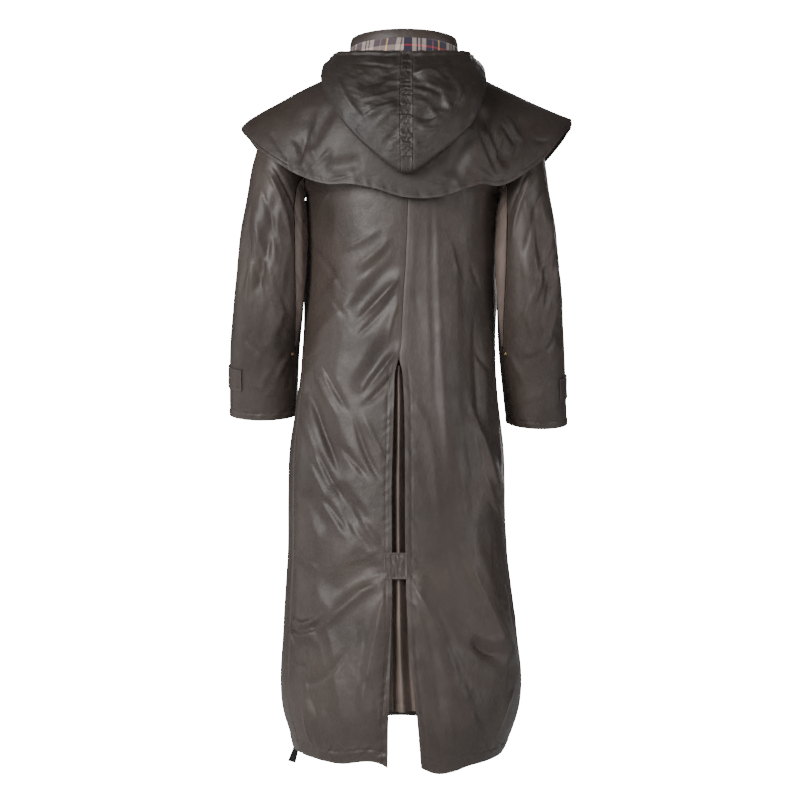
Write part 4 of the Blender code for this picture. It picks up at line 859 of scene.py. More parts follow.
def front_share(x):
    """How far x is from the front edge of the cape to its tip, 0 to 1."""
    tip = np.where(x > 0, CAPE_BACK[-1].x, -CAPE_BACK[0].x)
    return np.clip((np.abs(x) - CAPE_FRONT_EDGE) / (tip - CAPE_FRONT_EDGE), 0, 1)


def cape_depth(x, z, front):
    """Depth of the cape's surface from the middle plane at x and height z."""
    ridge = cape_ridge(x, front)
    edge, depth = cape_edge(x, front)
    reached = rounding(ridge - z) / np.maximum(rounding(ridge - edge), 1e-6)
    return cape_neck(x) + (depth - cape_neck(x)) * reached


def hood_section(degrees, share):
    """A point of the hood. share runs from the neck seam down, round the fold and up to the rim."""
    share = np.asarray(share, float)
    a = math.radians(degrees)
    out = np.array([math.sin(a), -math.cos(a), 0.0])
    line = {name: float(column(HOOD, name, np.array(float(degrees)))) for name in HoodLine._fields[1:]}
    neck = np.array([
        (NECK_HALF_WIDTH + HOOD_NECK_GAP) * math.sin(a),
        -(NECK_HALF_DEPTH + HOOD_NECK_GAP) * math.cos(a),
        0.0,
    ])
    front = neck[1] > 0
    neck[2] = float(cape_ridge(np.array(neck[0]), front)) + HOOD_CLEARANCE
    fold = np.array([line["fold_x"], line["fold_y"], line["fold_z"]])
    rim = np.array([line["rim_x"], line["rim_y"], line["rim_z"]])
    far, high = HOOD_CLEARANCE + 2 * HOOD_TURN, HOOD_CLEARANCE + HOOD_TURN
    fold = pushed_off_cape(fold, degrees, far, high)
    centre = fold - out * HOOD_TURN
    inner_end = fold - out * 2 * HOOD_TURN
    points = []
    for s in share:
        if s < HOOD_INNER_SHARE:
            t = s / HOOD_INNER_SHARE
            point = pushed_off_cape(neck + (inner_end - neck) * t, degrees, HOOD_CLEARANCE, HOOD_CLEARANCE)
        elif s < HOOD_OUTER_SHARE:
            turn = math.pi * (s - HOOD_INNER_SHARE) / (HOOD_OUTER_SHARE - HOOD_INNER_SHARE)
            point = centre - out * HOOD_TURN * math.cos(turn) - np.array([0, 0, HOOD_TURN * math.sin(turn)])
            point = pushed_off_cape(point, degrees, HOOD_CLEARANCE, HOOD_CLEARANCE)
        else:
            t = (s - HOOD_OUTER_SHARE) / (1 - HOOD_OUTER_SHARE)
            point = fold + (rim - fold) * t + out * line["bulge"] * math.sin(math.pi * t)
            point = pushed_off_cape(point, degrees, far, high)
        points.append(point)
    return np.array(points)


def pushed_off_cape(point, degrees, outward, upward):
    """The point, moved clear of the cape: outwards behind the neck, upwards over the shoulders."""
    x, y, z = point
    front = y > 0
    ridge = float(cape_ridge(np.array(x), front))
    edge, depth = (float(value) for value in cape_edge(np.array(x), front))
    neck = float(cape_neck(np.array(x)))
    if abs(degrees) < HOOD_SHOULDER_DEGREES:
        under = z - HOOD_CLEARANCE
        least = float(cape_depth(np.array(x), np.array(under), front)) + outward
        return np.array([x, min(y, -least) if under < ridge else y, z])
    reached = min(max((abs(y) - neck) / (depth - neck), 0.0), 1.0) * float(rounding(ridge - edge))
    height = ridge - CAPE_ROUNDING * (1 - math.sqrt(1 - reached**2))
    return np.array([x, y, max(z, height + upward)])


def quadratic(start, middle, end, t):
    """A point on the curve that passes start at 0, middle at one half and end at 1."""
    return start * (1 - t) * (1 - 2 * t) + middle * 4 * t * (1 - t) + end * t * (2 * t - 1)


def fold_height(folds, x, z):
    """The sum of all folds at the points (x, z)."""
    height = np.zeros(np.broadcast(x, z).shape)
    stops = np.linspace(0, 1, FOLD_STOPS)
    for fold in folds:
        xs = quadratic(fold.x0, fold.x1, fold.x2, stops)
        zs = quadratic(fold.z0, fold.z1, fold.z2, stops)
        reach = max(fold.left, fold.right)
        near = (x > xs.min() - reach) & (x < xs.max() + reach) & (z > zs.min() - reach) & (z < zs.max() + reach)
        if not near.any():
            continue
        px, pz = x[near], z[near]
        best = np.full(px.shape, 1e9)
        side, place = np.zeros(px.shape), np.zeros(px.shape)
        for i in range(len(stops) - 1):
            dx, dz = xs[i + 1] - xs[i], zs[i + 1] - zs[i]
            share = np.clip(((px - xs[i]) * dx + (pz - zs[i]) * dz) / (dx * dx + dz * dz), 0, 1)
            off_x, off_z = px - xs[i] - dx * share, pz - zs[i] - dz * share
            distance = np.hypot(off_x, off_z)
            closer = distance < best
            best = np.where(closer, distance, best)
            side = np.where(closer, off_x * -dz + off_z * dx, side)
            place = np.where(closer, stops[i] + share * stops[1], place)
        taper = smooth(place / FOLD_TAPER_TOP) * smooth((1 - place) / FOLD_TAPER_FOOT)
        width = (0.45 + 0.55 * taper) * np.where(side < 0, fold.left, fold.right)
        crest = np.clip(1 - best / width, 0, 1) ** CREST_POWER
        height[near] += fold.height * taper * crest
    return height


def sprayed(sprays):
    """Folds of uneven length, depth and spacing from the spray table."""
    folds = []
    for spray in sprays:
        draw = np.random.default_rng(spray.seed)
        for i in range(spray.count):
            share = (i + draw.uniform(0.1, 0.9)) / spray.count
            x0 = spray.x_from + (spray.x_to - spray.x_from) * draw.uniform(0, 1)
            z0 = spray.z_from + (spray.z_to - spray.z_from) * share
            longer = draw.uniform(0.45, 1.25)
            x2, z2 = x0 + spray.run_x * longer, z0 + spray.run_z * longer * draw.uniform(0.6, 1.3)
            bend = spray.bend * draw.uniform(-1, 1)
            x1, z1 = (x0 + x2) / 2 + bend, (z0 + z2) / 2 + bend * 0.5
            left, right = spray.reach * draw.uniform(0.6, 1.5), spray.reach * draw.uniform(0.6, 1.5)
            height = spray.height * draw.uniform(0.5, 1.3) * (1 if draw.uniform() < 0.6 else -1)
            folds.append(Fold(x0, z0, x1, z1, x2, z2, left, right, height))
    return tuple(folds)


ALL_BACK_FOLDS = BACK_FOLDS + sprayed(BACK_SPRAYS)
ALL_FRONT_FOLDS = FRONT_FOLDS + sprayed(FRONT_SPRAYS)
ALL_SLEEVE_FOLDS = {side: SLEEVE_FOLDS[side] + sprayed(SLEEVE_SPRAYS) for side in SIGN}
ALL_CAPE_FOLDS = CAPE_FOLDS + sprayed(CAPE_SPRAYS)
ALL_HOOD_FOLDS = HOOD_FOLDS + sprayed(HOOD_SPRAYS)


def noise(u, v, size_u, size_v, seed):
    """Smooth random height from -1 to 1, one bump to each cell of the given size."""
    n = NOISE_CELLS
    cells = np.random.default_rng(seed).uniform(-1, 1, (n, n))
    across, down = u / size_u + n // 2, v / size_v + n // 2
    i, j = np.floor(across).astype(int), np.floor(down).astype(int)
    p, q = smooth(across - i), smooth(down - j)
    low = cells[i % n, j % n] * (1 - p) + cells[(i + 1) % n, j % n] * p
    high = cells[i % n, (j + 1) % n] * (1 - p) + cells[(i + 1) % n, (j + 1) % n] * p
    return low * (1 - q) + high * q


def grained(grains, u, v):
    """Small wrinkles: soft bumps with creased lines between them."""
    height = 0
    for grain in grains:
        bent = u + WRINKLE_BEND * grain.across * noise(u, v, grain.down, grain.down, grain.seed + 100)
        rough = noise(bent, v + WRINKLE_SLANT * bent, grain.across, grain.down, grain.seed)
        height = height + grain.height * (1 - WRINKLE_CREST * np.abs(rough))
    return height


def run(points, axis):
    """Distance along each row or column of a grid from its start."""
    steps = np.linalg.norm(np.diff(points, axis=axis), axis=2)
    return np.concatenate([np.zeros_like(np.take(steps, [0], axis=axis)), np.cumsum(steps, axis=axis)], axis=axis)


def edges(points):
    """Distance of each point of a grid from its four edges, along the cloth."""
    across, down = run(points, 1), run(points, 0)
    return Edges(across, across[:, -1:] - across, down, down[-1:] - down)


def seam_dip(distance):
    """The dip where a panel is sewn to its neighbour."""
    return -SEAM_DIP * fade(distance, SEAM_DIP_REACH)


def sewn(distance, along, at, pucker, seed):
    """Relief beside a row of stitches: doubled cloth up to it, the sunk line, and its puckers."""
    doubled = DOUBLED * smooth((at - distance) / STITCH_REACH + 0.5)
    sunk = -STITCH_SUNK * fade(distance - at, STITCH_REACH)
    slanted = along + PUCKER_SLANT * distance
    puckers = noise(slanted, distance, PUCKER_LENGTH, PUCKER_DEPTH, seed) * fade(distance - at, PUCKER_REACH)
    return doubled + sunk + pucker * puckers


def spaced(length, step, start_margin, end_margin):
    """Shares from 0 to 1 along a length: fine steps within the margins, even steps between them."""
    first = np.arange(0, start_margin, FINE_STEP)
    last = length - np.arange(0, end_margin, FINE_STEP)[::-1]
    low, high = start_margin, length - end_margin
    middle = np.linspace(low, high, int(math.ceil((high - low) / step)) + 1)
    return np.concatenate([first, middle, last]) / length


def body_cloth(theta, z, lift=0.0):
    """Points of the coat's body with its folds and wrinkles, moved out by lift."""
    base = body_base(theta, z)
    x, y = base[..., 0], base[..., 1]
    behind = share_behind(y)
    below_cape = smooth((FOLDS_TOP_Z - z) / FOLDS_TOP_FADE)
    away = smooth((body_reach(x, z) - np.abs(x)) / FOLDS_SIDE_FADE)
    quiet = np.maximum(smooth((BESIDE_SLEEVE_Z - z) / BESIDE_SLEEVE_FADE), away) * below_cape
    folds = fold_height(ALL_BACK_FOLDS, x, z) * behind + fold_height(ALL_FRONT_FOLDS, x, z) * (1 - behind)
    wrinkles = grained(BODY_GRAIN, theta * BODY_RADIUS, z) * (0.6 + 0.4 * behind)
    relief = body_creases(base) + (folds + wrinkles) * quiet + lift
    return base + base_normals(theta, z) * relief[..., None]


def row_heights(low, high, theta, front):
    """Heights of the rows of one column: from hem to armhole, then up to the shoulder."""
    x = body_base(np.array(theta), np.array(ARMHOLE_TOP_Z))[0]
    top = float(shoulder_top(x, front)[0])
    hem = float(column(HEM, "z", np.degrees(theta)))
    below = hem + (ARMHOLE_BOTTOM_Z - hem) * low
    return np.concatenate([below, ARMHOLE_BOTTOM_Z + (top - ARMHOLE_BOTTOM_Z) * high[1:]])


def body_panel(side, front, across, low, high):
    """Grid of a back or front panel, from its centre edge to its side seam."""
    sign = SIGN[side]
    columns = []
    for share in across:
        nominal = sign * math.pi / 2 * ((2 - share) if front else share)
        z = row_heights(low, high, nominal, front)
        half_seam = SIDE_GAP / 2 / body_reach(sign, z) * sign
        seam = side_seam(side, z)
        if front:
            start = body_angle(np.full_like(z, sign * 1e-6), z, True)
            theta = start + (seam + half_seam - start) * share
        else:
            start = body_angle(column(CENTRE_BACK, side, z) + sign * SEAM / 2, z, False)
            theta = start + (seam - half_seam - start) * share
        columns.append(body_cloth(theta, z))
    return np.stack(columns, axis=1)


def front_strip(side, count, low, high):
    """The overlap of a front, past the centre line, as extra columns before its panel."""
    sign = SIGN[side]
    columns = []
    for i in range(count):
        x = -sign * FRONT_OVERLAP * (1 - i / count)
        z = row_heights(low, high, math.pi * (1 if x > 0 else -1), True)
        top = float(shoulder_top(np.array(x), True)[0])
        z = z + (top - z[-1]) * smooth((z - ARMHOLE_BOTTOM_Z) / (z[-1] - ARMHOLE_BOTTOM_Z))
        columns.append(body_cloth(body_angle(np.full_like(z, x), z, True), z))
    return np.stack(columns, axis=1)


def sleeve_cloth(side, row, phi, lift=0.0):
    """Sleeve surface with its folds and wrinkles, moved out by lift."""
    row, phi = np.broadcast_arrays(np.asarray(row, float), np.asarray(phi, float))
    step = 0.01
    base = sleeve_point(side, row, phi)
    along_u = sleeve_point(side, row, phi + step) - sleeve_point(side, row, phi - step)
    low, high = np.clip(row - step, 0, 1), np.clip(row + step, 0, 1)
    along_v = sleeve_point(side, high, phi) - sleeve_point(side, low, phi)
    normals = unit(np.cross(along_v, along_u) * SIGN[side])
    ends = smooth(row / SLEEVE_TOP_FADE) * smooth((1 - row) / CUFF_FADE)
    behind = smooth(0.5 - np.sin(phi))
    x, z = np.abs(base[..., 0]), base[..., 2]
    creases = crease_height(SLEEVE_CREASES, x, z) * (0.35 + 0.65 * behind)
    folds = fold_height(ALL_SLEEVE_FOLDS[side], x, z) * (0.55 + 0.45 * behind)
    wrinkles = grained(BODY_GRAIN, phi * SLEEVE_GRAIN_RADIUS, z) * SLEEVE_WRINKLES
    inside = 0.35 + 0.65 * smooth((np.cos(phi) + 0.95) / 0.5)
    relief = (creases + (folds + wrinkles) * inside) * ends + lift
    return base + normals * relief[..., None]


def sleeve_grid(side, across, down):
    """Top sleeve, from the back seam of the underarm piece over the outside to its front seam."""
    gap = SEAM / 2 / SLEEVE_RADIUS
    half = np.where(down < UNDERARM_END + 1e-9, underarm_half(down), 0) + gap
    half = np.where(down > UNDERARM_END, gap, half)
    start = underarm_middle(down) + half
    end = underarm_middle(down) + 2 * math.pi - half
    phi = start[:, None] + (end - start)[:, None] * across[None, :]
    return sleeve_cloth(side, down[:, None], phi)


def underarm_grid(side, across, down):
    """Underarm piece, inside the opening of the top sleeve."""
    row = down * UNDERARM_END
    row[-1] = row[-1] - UNDERARM_TIP_GAP
    half = underarm_half(row) - SEAM / 2 / SLEEVE_RADIUS - UNDERARM_EASE * (1 - row)
    phi = underarm_middle(row)[:, None] + half[:, None] * (across * 2 - 1)[None, :]
    return sleeve_cloth(side, row[:, None], phi)


def cape_grid(x, down, front, outward):
    """Grid of a cape piece over the given columns, from the upper line down to the edge."""
    share = down**CAPE_ROW_POWER
    ridge = cape_ridge(x, front)
    edge = cape_edge(x, front)[0]
    z = ridge[None, :] + (edge - ridge)[None, :] * share[:, None]
    columns = np.broadcast_to(x, z.shape)
    depth = cape_depth(columns, z, front)
    base = np.stack([columns, depth if front else -depth, z], axis=-1)
    fading = smooth((ridge[None, :] - z) / CAPE_TOP_FADE)
    lower = smooth((UNDER_HOOD_Z - z) / UNDER_HOOD_Z_FADE)
    under_hood = smooth((np.abs(columns) - UNDER_HOOD_X) / UNDER_HOOD_X_FADE + lower)
    amount = CAPE_FRONT_RELIEF if front else 1.0
    relief = crease_height(CAPE_CREASES, columns, z) * fading * amount
    fine = fold_height(ALL_CAPE_FOLDS, columns, z) + CAPE_WRINKLES * grained(BODY_GRAIN, columns, z)
    relief = relief + fine * fading * amount * under_hood
    return base + grid_normals(base) * outward * relief[..., None]


def hood_grid(angles, shares):
    """Grid of a hood piece over angles round the neck, from the neck seam round the fold to the rim."""
    base = np.stack([hood_section(angle, shares) for angle in angles], axis=1)
    outer = smooth((shares - HOOD_OUTER_SHARE) / HOOD_CREASE_START) * smooth((1 - shares) / HOOD_CREASE_END)
    creases = crease_height(HOOD_CREASES, base[..., 0], base[..., 2]) * outer[:, None]
    outer = smooth((shares - HOOD_OUTER_SHARE + HOOD_FOLD_LEAD) / HOOD_FOLD_START)
    outer = outer * (0.4 + 0.6 * smooth((1 - shares) / HOOD_FOLD_END))
    folds = fold_height(ALL_HOOD_FOLDS, base[..., 0], base[..., 2])
    wrinkles = grained(HOOD_GRAIN, np.radians(angles)[None, :] * HOOD_RADIUS, base[..., 2])
    relief = creases + (folds + wrinkles) * outer[:, None]
    return base + grid_normals(base) * relief[..., None]


def collar_grid(angles, shares, lift):
    """Part of the standing collar over angles in degrees and shares of its height, moved out by lift."""
    angles, share = np.radians(angles), shares[:, None]
    sine, cosine = np.sin(angles)[None, :], np.cos(angles)[None, :]
    lean = COLLAR_LEAN * share**COLLAR_LEAN_POWER
    drop = np.where(cosine > 0, -NECK_BACK_RISE, NECK_FRONT_DROP)
    bottom = NECK_SIDE_Z - drop * cosine**2 + COLLAR_SEAT
    sides = COLLAR_TOP_SIDE_Z + (COLLAR_TOP_BACK_Z - COLLAR_TOP_SIDE_Z) * cosine
    ahead = COLLAR_TOP_SIDE_Z + (COLLAR_TOP_FRONT_Z - COLLAR_TOP_SIDE_Z) * smooth(-cosine)
    z = bottom + (np.where(cosine > 0, sides, ahead) - bottom) * share
    uneven = grained(COLLAR_GRAIN, angles[None, :] * COLLAR_RADIUS + 0 * z, z)
    x = (NECK_HALF_WIDTH - lean + lift + uneven) * sine
    y = -(NECK_HALF_DEPTH - lean + lift + uneven) * cosine
    return np.stack([x + 0 * z, y + 0 * z, z], axis=-1)


def placed(name, data):
    """A new object with that data, in the scene."""
    thing = bpy.data.objects.new(name, data)
    bpy.context.scene.collection.objects.link(thing)
    return thing


def add_cloth(name, points, outward, thickness, material):
    """A closed wall from a grid of its outer side, with its place on the cloth as UV and its lighter rim, for rubbed
    wear and a painted highlight.
    """
    inner = points - grid_normals(points) * outward * thickness
    rows, columns = points.shape[:2]
    count = rows * columns
    vertices = np.concatenate([points.reshape(-1, 3), inner.reshape(-1, 3)])
    index = np.arange(count).reshape(rows, columns)
    quads = np.stack([index[:-1, :-1], index[:-1, 1:], index[1:, 1:], index[1:, :-1]], axis=-1).reshape(-1, 4)
    ring = np.concatenate([index[0], index[1:, -1], index[-1, -2::-1], index[-2:0:-1, 0]])
    after = np.roll(ring, -1)
    rim = np.stack([after, ring, ring + count, after + count], axis=-1)
    faces = np.concatenate([quads, quads[:, ::-1] + count, rim])
    if outward < 0:
        faces = faces[:, ::-1]
    mesh = bpy.data.meshes.new(name)
    mesh.from_pydata(vertices.tolist(), [], faces.tolist())
    mesh.polygons.foreach_set("use_smooth", np.ones(len(faces), dtype=bool))
    near = edges(points)
    across, down = near.start.reshape(-1), near.low.reshape(-1)
    place = np.stack([np.tile(across, 2), np.tile(down, 2)], axis=1)
    loops = np.empty(len(mesh.loops), dtype=int)
    mesh.loops.foreach_get("vertex_index", loops)
    mesh.uv_layers.new(name="cloth").data.foreach_set("uv", place[loops].reshape(-1))
    # How near each point is to the rim, for the lighter rim: rubbed wear and a painted highlight
    distance = np.minimum(np.minimum(near.start, near.end), np.minimum(near.low, near.high)).reshape(-1)
    rim_wear_and_highlight = mesh.attributes.new("rim_wear_and_highlight", "FLOAT", "POINT")
    rim_wear_and_highlight.data.foreach_set("value", np.tile(fade(distance, RIM_WEAR_AND_HIGHLIGHT_REACH), 2).astype(np.float32))
    ends = np.empty(2 * len(mesh.edges), dtype=int)
    mesh.edges.foreach_get("vertices", ends)
    pairs = np.sort(ends.reshape(-1, 2), axis=1)
    rims = np.concatenate([np.stack([ring, after], 1), np.stack([ring + count, after + count], 1)])
    keys = set(map(tuple, np.sort(rims, axis=1).tolist()))
    sharp = np.array([tuple(pair) in keys for pair in pairs.tolist()])
    mesh.attributes.new("sharp_edge", "BOOLEAN", "EDGE").data.foreach_set("value", sharp)
    mesh.materials.append(material)
    return placed(name, mesh)


def dress(node, points, outward, thickness, material):
    """A cloth piece in place of its CAD node."""
    piece = add_cloth(f"{node}_cloth", points, outward, thickness, material)
    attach(piece, "root")
    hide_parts(node)


def thread_line(points, edge, at, outward):
    """A line on the cloth at a distance from one of its edges, with the cloth's outward normals there."""
    turned = {
        "start": lambda grid: grid,
        "end": lambda grid: grid[:, ::-1],
        "low": lambda grid: grid.transpose(1, 0, 2),
        "high": lambda grid: grid[::-1].transpose(1, 0, 2),
    }[edge]
    cloth, normals = turned(points), turned(grid_normals(points) * outward)
    distance = run(cloth, 1)
    line, out = np.zeros((len(cloth), 3)), np.zeros((len(cloth), 3))
    for r in range(len(cloth)):
        for axis in range(3):
            line[r, axis] = np.interp(at, distance[r], cloth[r, :, axis])
            out[r, axis] = np.interp(at, distance[r], normals[r, :, axis])
    return line, out


def add_thread(name, lines, material):
    """Stitches along the given lines, joined in one piece."""
    vertices, faces = [], []
    corners = ((0, 4, 2), (4, 1, 2), (1, 5, 2), (5, 0, 2), (4, 0, 3), (1, 4, 3), (5, 1, 3), (0, 5, 3))
    for line, out in lines:
        length = np.concatenate([[0], np.cumsum(np.linalg.norm(np.diff(line, axis=0), axis=1))])
        stops = np.arange(STITCH_PITCH, length[-1] - STITCH_PITCH / 2, STITCH_PITCH)
        half = STITCH_HALF_LENGTH
        read = lambda at, values: np.stack([np.interp(at, length, values[:, k]) for k in range(3)], axis=1)
        middle, before, beyond = read(stops, line), read(stops - half, line), read(stops + half, line)
        normal = unit(read(stops, out))
        side = unit(np.cross(beyond - before, normal))
        sunk = normal * STITCH_RISE * 0.3
        rows = np.stack([
            before - sunk,
            beyond - sunk,
            middle + normal * STITCH_RISE,
            middle - normal * STITCH_RISE,
            middle + side * STITCH_HALF_WIDTH,
            middle - side * STITCH_HALF_WIDTH,
        ], axis=1)
        for stitch in rows:
            base = len(vertices)
            vertices += stitch.tolist()
            faces += [tuple(base + c for c in corner) for corner in corners]
    mesh = bpy.data.meshes.new(name)
    mesh.from_pydata(vertices, [], faces)
    mesh.materials.append(material)
    thing = placed(name, mesh)
    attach(thing, "root")


def add_turned(node, centre, normal, profile, sides, material):
    """A round metal piece turned from a profile of (radius, height) points, in place of its CAD node."""
    normal = unit(normal)
    across = unit(np.cross(normal, [0.0, 0.0, 1.0]))
    up = np.cross(normal, across)
    turns = 2 * math.pi * np.arange(sides) / sides
    spokes = np.cos(turns)[:, None] * across + np.sin(turns)[:, None] * up
    vertices = [centre + spoke * radius + normal * height for radius, height in profile for spoke in spokes]
    faces = [tuple(reversed(range(sides))), tuple(range((len(profile) - 1) * sides, len(profile) * sides))]
    for level in range(len(profile) - 1):
        for i in range(sides):
            a, b = level * sides + i, level * sides + (i + 1) % sides
            faces.append((a, b, b + sides, a + sides))
    name = f"{node}_turned"
    mesh = bpy.data.meshes.new(name)
    mesh.from_pydata([tuple(float(c) for c in v) for v in vertices], [], faces)
    for face in mesh.polygons:
        face.use_smooth = len(face.vertices) == 4
    mesh.materials.append(material)
    thing = placed(name, mesh)
    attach(thing, "root")
    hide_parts(node)


class Graph:
    """A material's nodes, made and linked with short calls."""

    def __init__(self, name):
        self.material = bpy.data.materials.new(name)
        self.material.use_nodes = True
        self.nodes = self.material.node_tree.nodes
        self.links = self.material.node_tree.links
        self.shader = self.nodes["Principled BSDF"]

    def add(self, kind, **settings):
        """A node; settings name its properties, or its sockets with spaces as underscores."""
        node = self.nodes.new(kind)
        for key, value in settings.items():
            if hasattr(node, key):
                setattr(node, key, value)
            else:
                self.put(node.inputs[key.replace("_", " ")], value)
        return node

    def put(self, socket, value):
        """A socket's value, or the link into it."""
        if isinstance(value, bpy.types.NodeSocket):
            self.links.new(value, socket)
        else:
            socket.default_value = value

    def shade(self, **inputs):
        """The material, with its shader's inputs set or linked; underscores stand for spaces."""
        for name, value in inputs.items():
            self.put(self.shader.inputs[name.replace("_", " ")], value)
        return self.material

    def math(self, operation, first, second=0.0):
        """The result of one sum."""
        node = self.add("ShaderNodeMath", operation=operation)
        self.put(node.inputs[0], first)
        self.put(node.inputs[1], second)
        return node.outputs[0]

    def mix(self, share, first, second):
        """A mix of two colours."""
        node = self.add("ShaderNodeMix", data_type="RGBA", blend_type="MIX")
        self.put(node.inputs[0], share)
        self.put(node.inputs[6], first)
        self.put(node.inputs[7], second)
        return node.outputs[2]

    def noise(self, where, scale, detail=2.0):
        """Noise at that many bumps a metre."""
        return self.add("ShaderNodeTexNoise", Vector=where, Scale=scale, Detail=detail).outputs["Fac"]

    def between(self, value, low, high, to_low=0.0, to_high=1.0):
        """The value, mapped from one range to another."""
        node = self.add("ShaderNodeMapRange")
        for socket, given in zip(node.inputs[:5], (value, low, high, to_low, to_high)):
            self.put(socket, given)
        return node.outputs[0]

    def creased(self, where, scale, detail):
        """Noise folded on its middle, so that straight creases run between soft bumps."""
        return self.math("ABSOLUTE", self.math("SUBTRACT", self.noise(where, scale, detail), 0.5))

    def bump(self, height, distance, strength=1.0, under=None):
        """A bump of that many metres, over another."""
        node = self.add("ShaderNodeBump", Height=height, Distance=distance, Strength=strength)
        if under is not None:
            self.put(node.inputs["Normal"], under)
        return node.outputs["Normal"]


def threads(graph, where, across_pitch, down_pitch):
    """Height of a plain weave at its pitches in metres, on the cloth's own coordinates."""
    split = graph.add("ShaderNodeSeparateXYZ", Vector=where)
    warp = graph.math("SINE", graph.math("MULTIPLY", split.outputs[0], 2 * math.pi / across_pitch))
    weft = graph.math("SINE", graph.math("MULTIPLY", split.outputs[1], 2 * math.pi / down_pitch))
    return graph.math("MULTIPLY", warp, weft)


def nylon(name, light, dark, roughness, crinkle):
    """Coated nylon: plain weave, soft crinkles, uneven tone, rims a little lighter for rubbed wear and a painted
    highlight.
    """
    graph = Graph(name)
    place = graph.add("ShaderNodeTexCoord")
    where, cloth = place.outputs["Object"], place.outputs["UV"]
    tone = graph.between(graph.noise(where, scale=9.0, detail=3.0), 0.35, 0.65)
    colour = graph.mix(tone, dark, light)
    fleck = graph.between(graph.noise(where, scale=900.0, detail=2.0), 0.3, 0.7, 0.0, 0.22)
    colour = graph.mix(fleck, colour, dark)
    # Lighter towards the rims: rubbed wear and a painted highlight
    rim_wear_and_highlight = graph.add("ShaderNodeAttribute", attribute_name="rim_wear_and_highlight")
    colour = graph.mix(graph.math("MULTIPLY", rim_wear_and_highlight.outputs["Fac"], 0.22), colour, RIM_WEAR_AND_HIGHLIGHT_BROWN)
    dull = graph.between(graph.noise(where, scale=26.0, detail=3.0), 0.3, 0.7, roughness - 0.05, roughness + 0.07)
    soft = graph.bump(graph.creased(where, 13.0, 3.0), 0.0048 * crinkle, 0.5)
    fine = graph.bump(graph.creased(where, 55.0, 2.0), 0.0014 * crinkle, 0.5, soft)
    woven = graph.bump(threads(graph, cloth, 0.0007, 0.0007), 0.000012, 0.6, fine)
    return graph.shade(
        Base_Color=colour,
        Roughness=dull,
        Normal=woven,
        Specular_IOR_Level=0.42,
        Sheen_Weight=0.04,
        Sheen_Roughness=0.45,
        Sheen_Tint=SHEEN_TINT,
    )


# Check: stripes along one direction of the cloth, as start, width and colour. Pitches in metres.
Stripe = namedtuple("Stripe", "at width colour")
CHECK_REPEAT = 0.070
CREAM, ROSE, GREY = (0.42, 0.33, 0.28, 1.0), (0.40, 0.13, 0.13, 1.0), (0.22, 0.20, 0.25, 1.0)
NAVY, GOLD, RED = (0.020, 0.018, 0.036, 1.0), (0.80, 0.42, 0.08, 1.0), (0.50, 0.020, 0.030, 1.0)
UPRIGHT_STRIPES = records(Stripe, (
    (0.0000, 0.0026, GOLD),
    (0.0190, 0.0080, CREAM),
    (0.0300, 0.0042, CREAM),
    (0.0370, 0.0085, CREAM),
    (0.0580, 0.0014, ROSE),
))
LEFT_LEVEL_STRIPES = (Stripe(0.0160, 0.0050, GREY), Stripe(0.0270, 0.0100, CREAM), Stripe(0.0500, 0.0030, GREY))
RIGHT_LEVEL_STRIPES = (Stripe(0.0160, 0.0050, GREY), Stripe(0.0345, 0.0032, RED), Stripe(0.0500, 0.0030, GREY))


def striped(graph, along, stripes, ground):
    """The colour of repeated stripes along one coordinate in metres."""
    place = graph.math("FLOORED_MODULO", along, CHECK_REPEAT)
    colour = ground
    for stripe in stripes:
        away = graph.math("ABSOLUTE", graph.math("SUBTRACT", place, stripe.at + stripe.width / 2))
        inside = graph.between(away, stripe.width / 2 - 0.0003, stripe.width / 2 + 0.0003, 1.0, 0.0)
        colour = graph.mix(inside, colour, stripe.colour)
    return colour


def check_cotton(name, level_stripes, shift, faded):
    """Brushed cotton check: upright and level stripes woven together, paler where faded."""
    graph = Graph(name)
    place = graph.add("ShaderNodeTexCoord")
    where, cloth = place.outputs["Object"], place.outputs["UV"]
    split = graph.add("ShaderNodeSeparateXYZ", Vector=cloth)
    upright = striped(graph, graph.math("ADD", split.outputs[0], shift), UPRIGHT_STRIPES, NAVY)
    level = striped(graph, graph.math("ADD", split.outputs[1], 0.004), level_stripes, NAVY)
    twill = graph.math("SINE", graph.math("MULTIPLY", graph.math("ADD", split.outputs[0], split.outputs[1]), 3900.0))
    woven = graph.between(twill, -0.4, 0.4, 0.28, 0.52)
    colour = graph.mix(woven, upright, level)
    fuzz = graph.noise(where, scale=700.0, detail=2.0)
    colour = graph.mix(graph.between(fuzz, 0.2, 0.8, faded, faded + 0.14), colour, CREAM)
    nap = graph.bump(fuzz, 0.0004, 0.5)
    return graph.shade(
        Base_Color=colour,
        Roughness=graph.between(fuzz, 0.3, 0.7, 0.84, 0.96),
        Normal=graph.bump(twill, 0.00006, 0.6, nap),
        Specular_IOR_Level=0.25,
        Sheen_Weight=0.25,
        Sheen_Roughness=0.6,
    )


def webbing(name):
    """Woven black strap: ribs across it and a closer selvedge."""
    graph = Graph(name)
    place = graph.add("ShaderNodeTexCoord")
    split = graph.add("ShaderNodeSeparateXYZ", Vector=place.outputs["UV"])
    ribs = graph.math("SINE", graph.math("MULTIPLY", split.outputs[1], 2 * math.pi / 0.0012))
    worn = graph.noise(place.outputs["Object"], scale=400.0, detail=3.0)
    colour = graph.mix(graph.between(worn, 0.3, 0.7), BLACK, WORN_BLACK)
    fuzz = graph.bump(worn, 0.0002, 0.4)
    dull = graph.between(ribs, -1.0, 1.0, 0.70, 0.88)
    return graph.shade(Base_Color=colour, Roughness=dull, Normal=graph.bump(ribs, 0.00012, 0.8, fuzz))


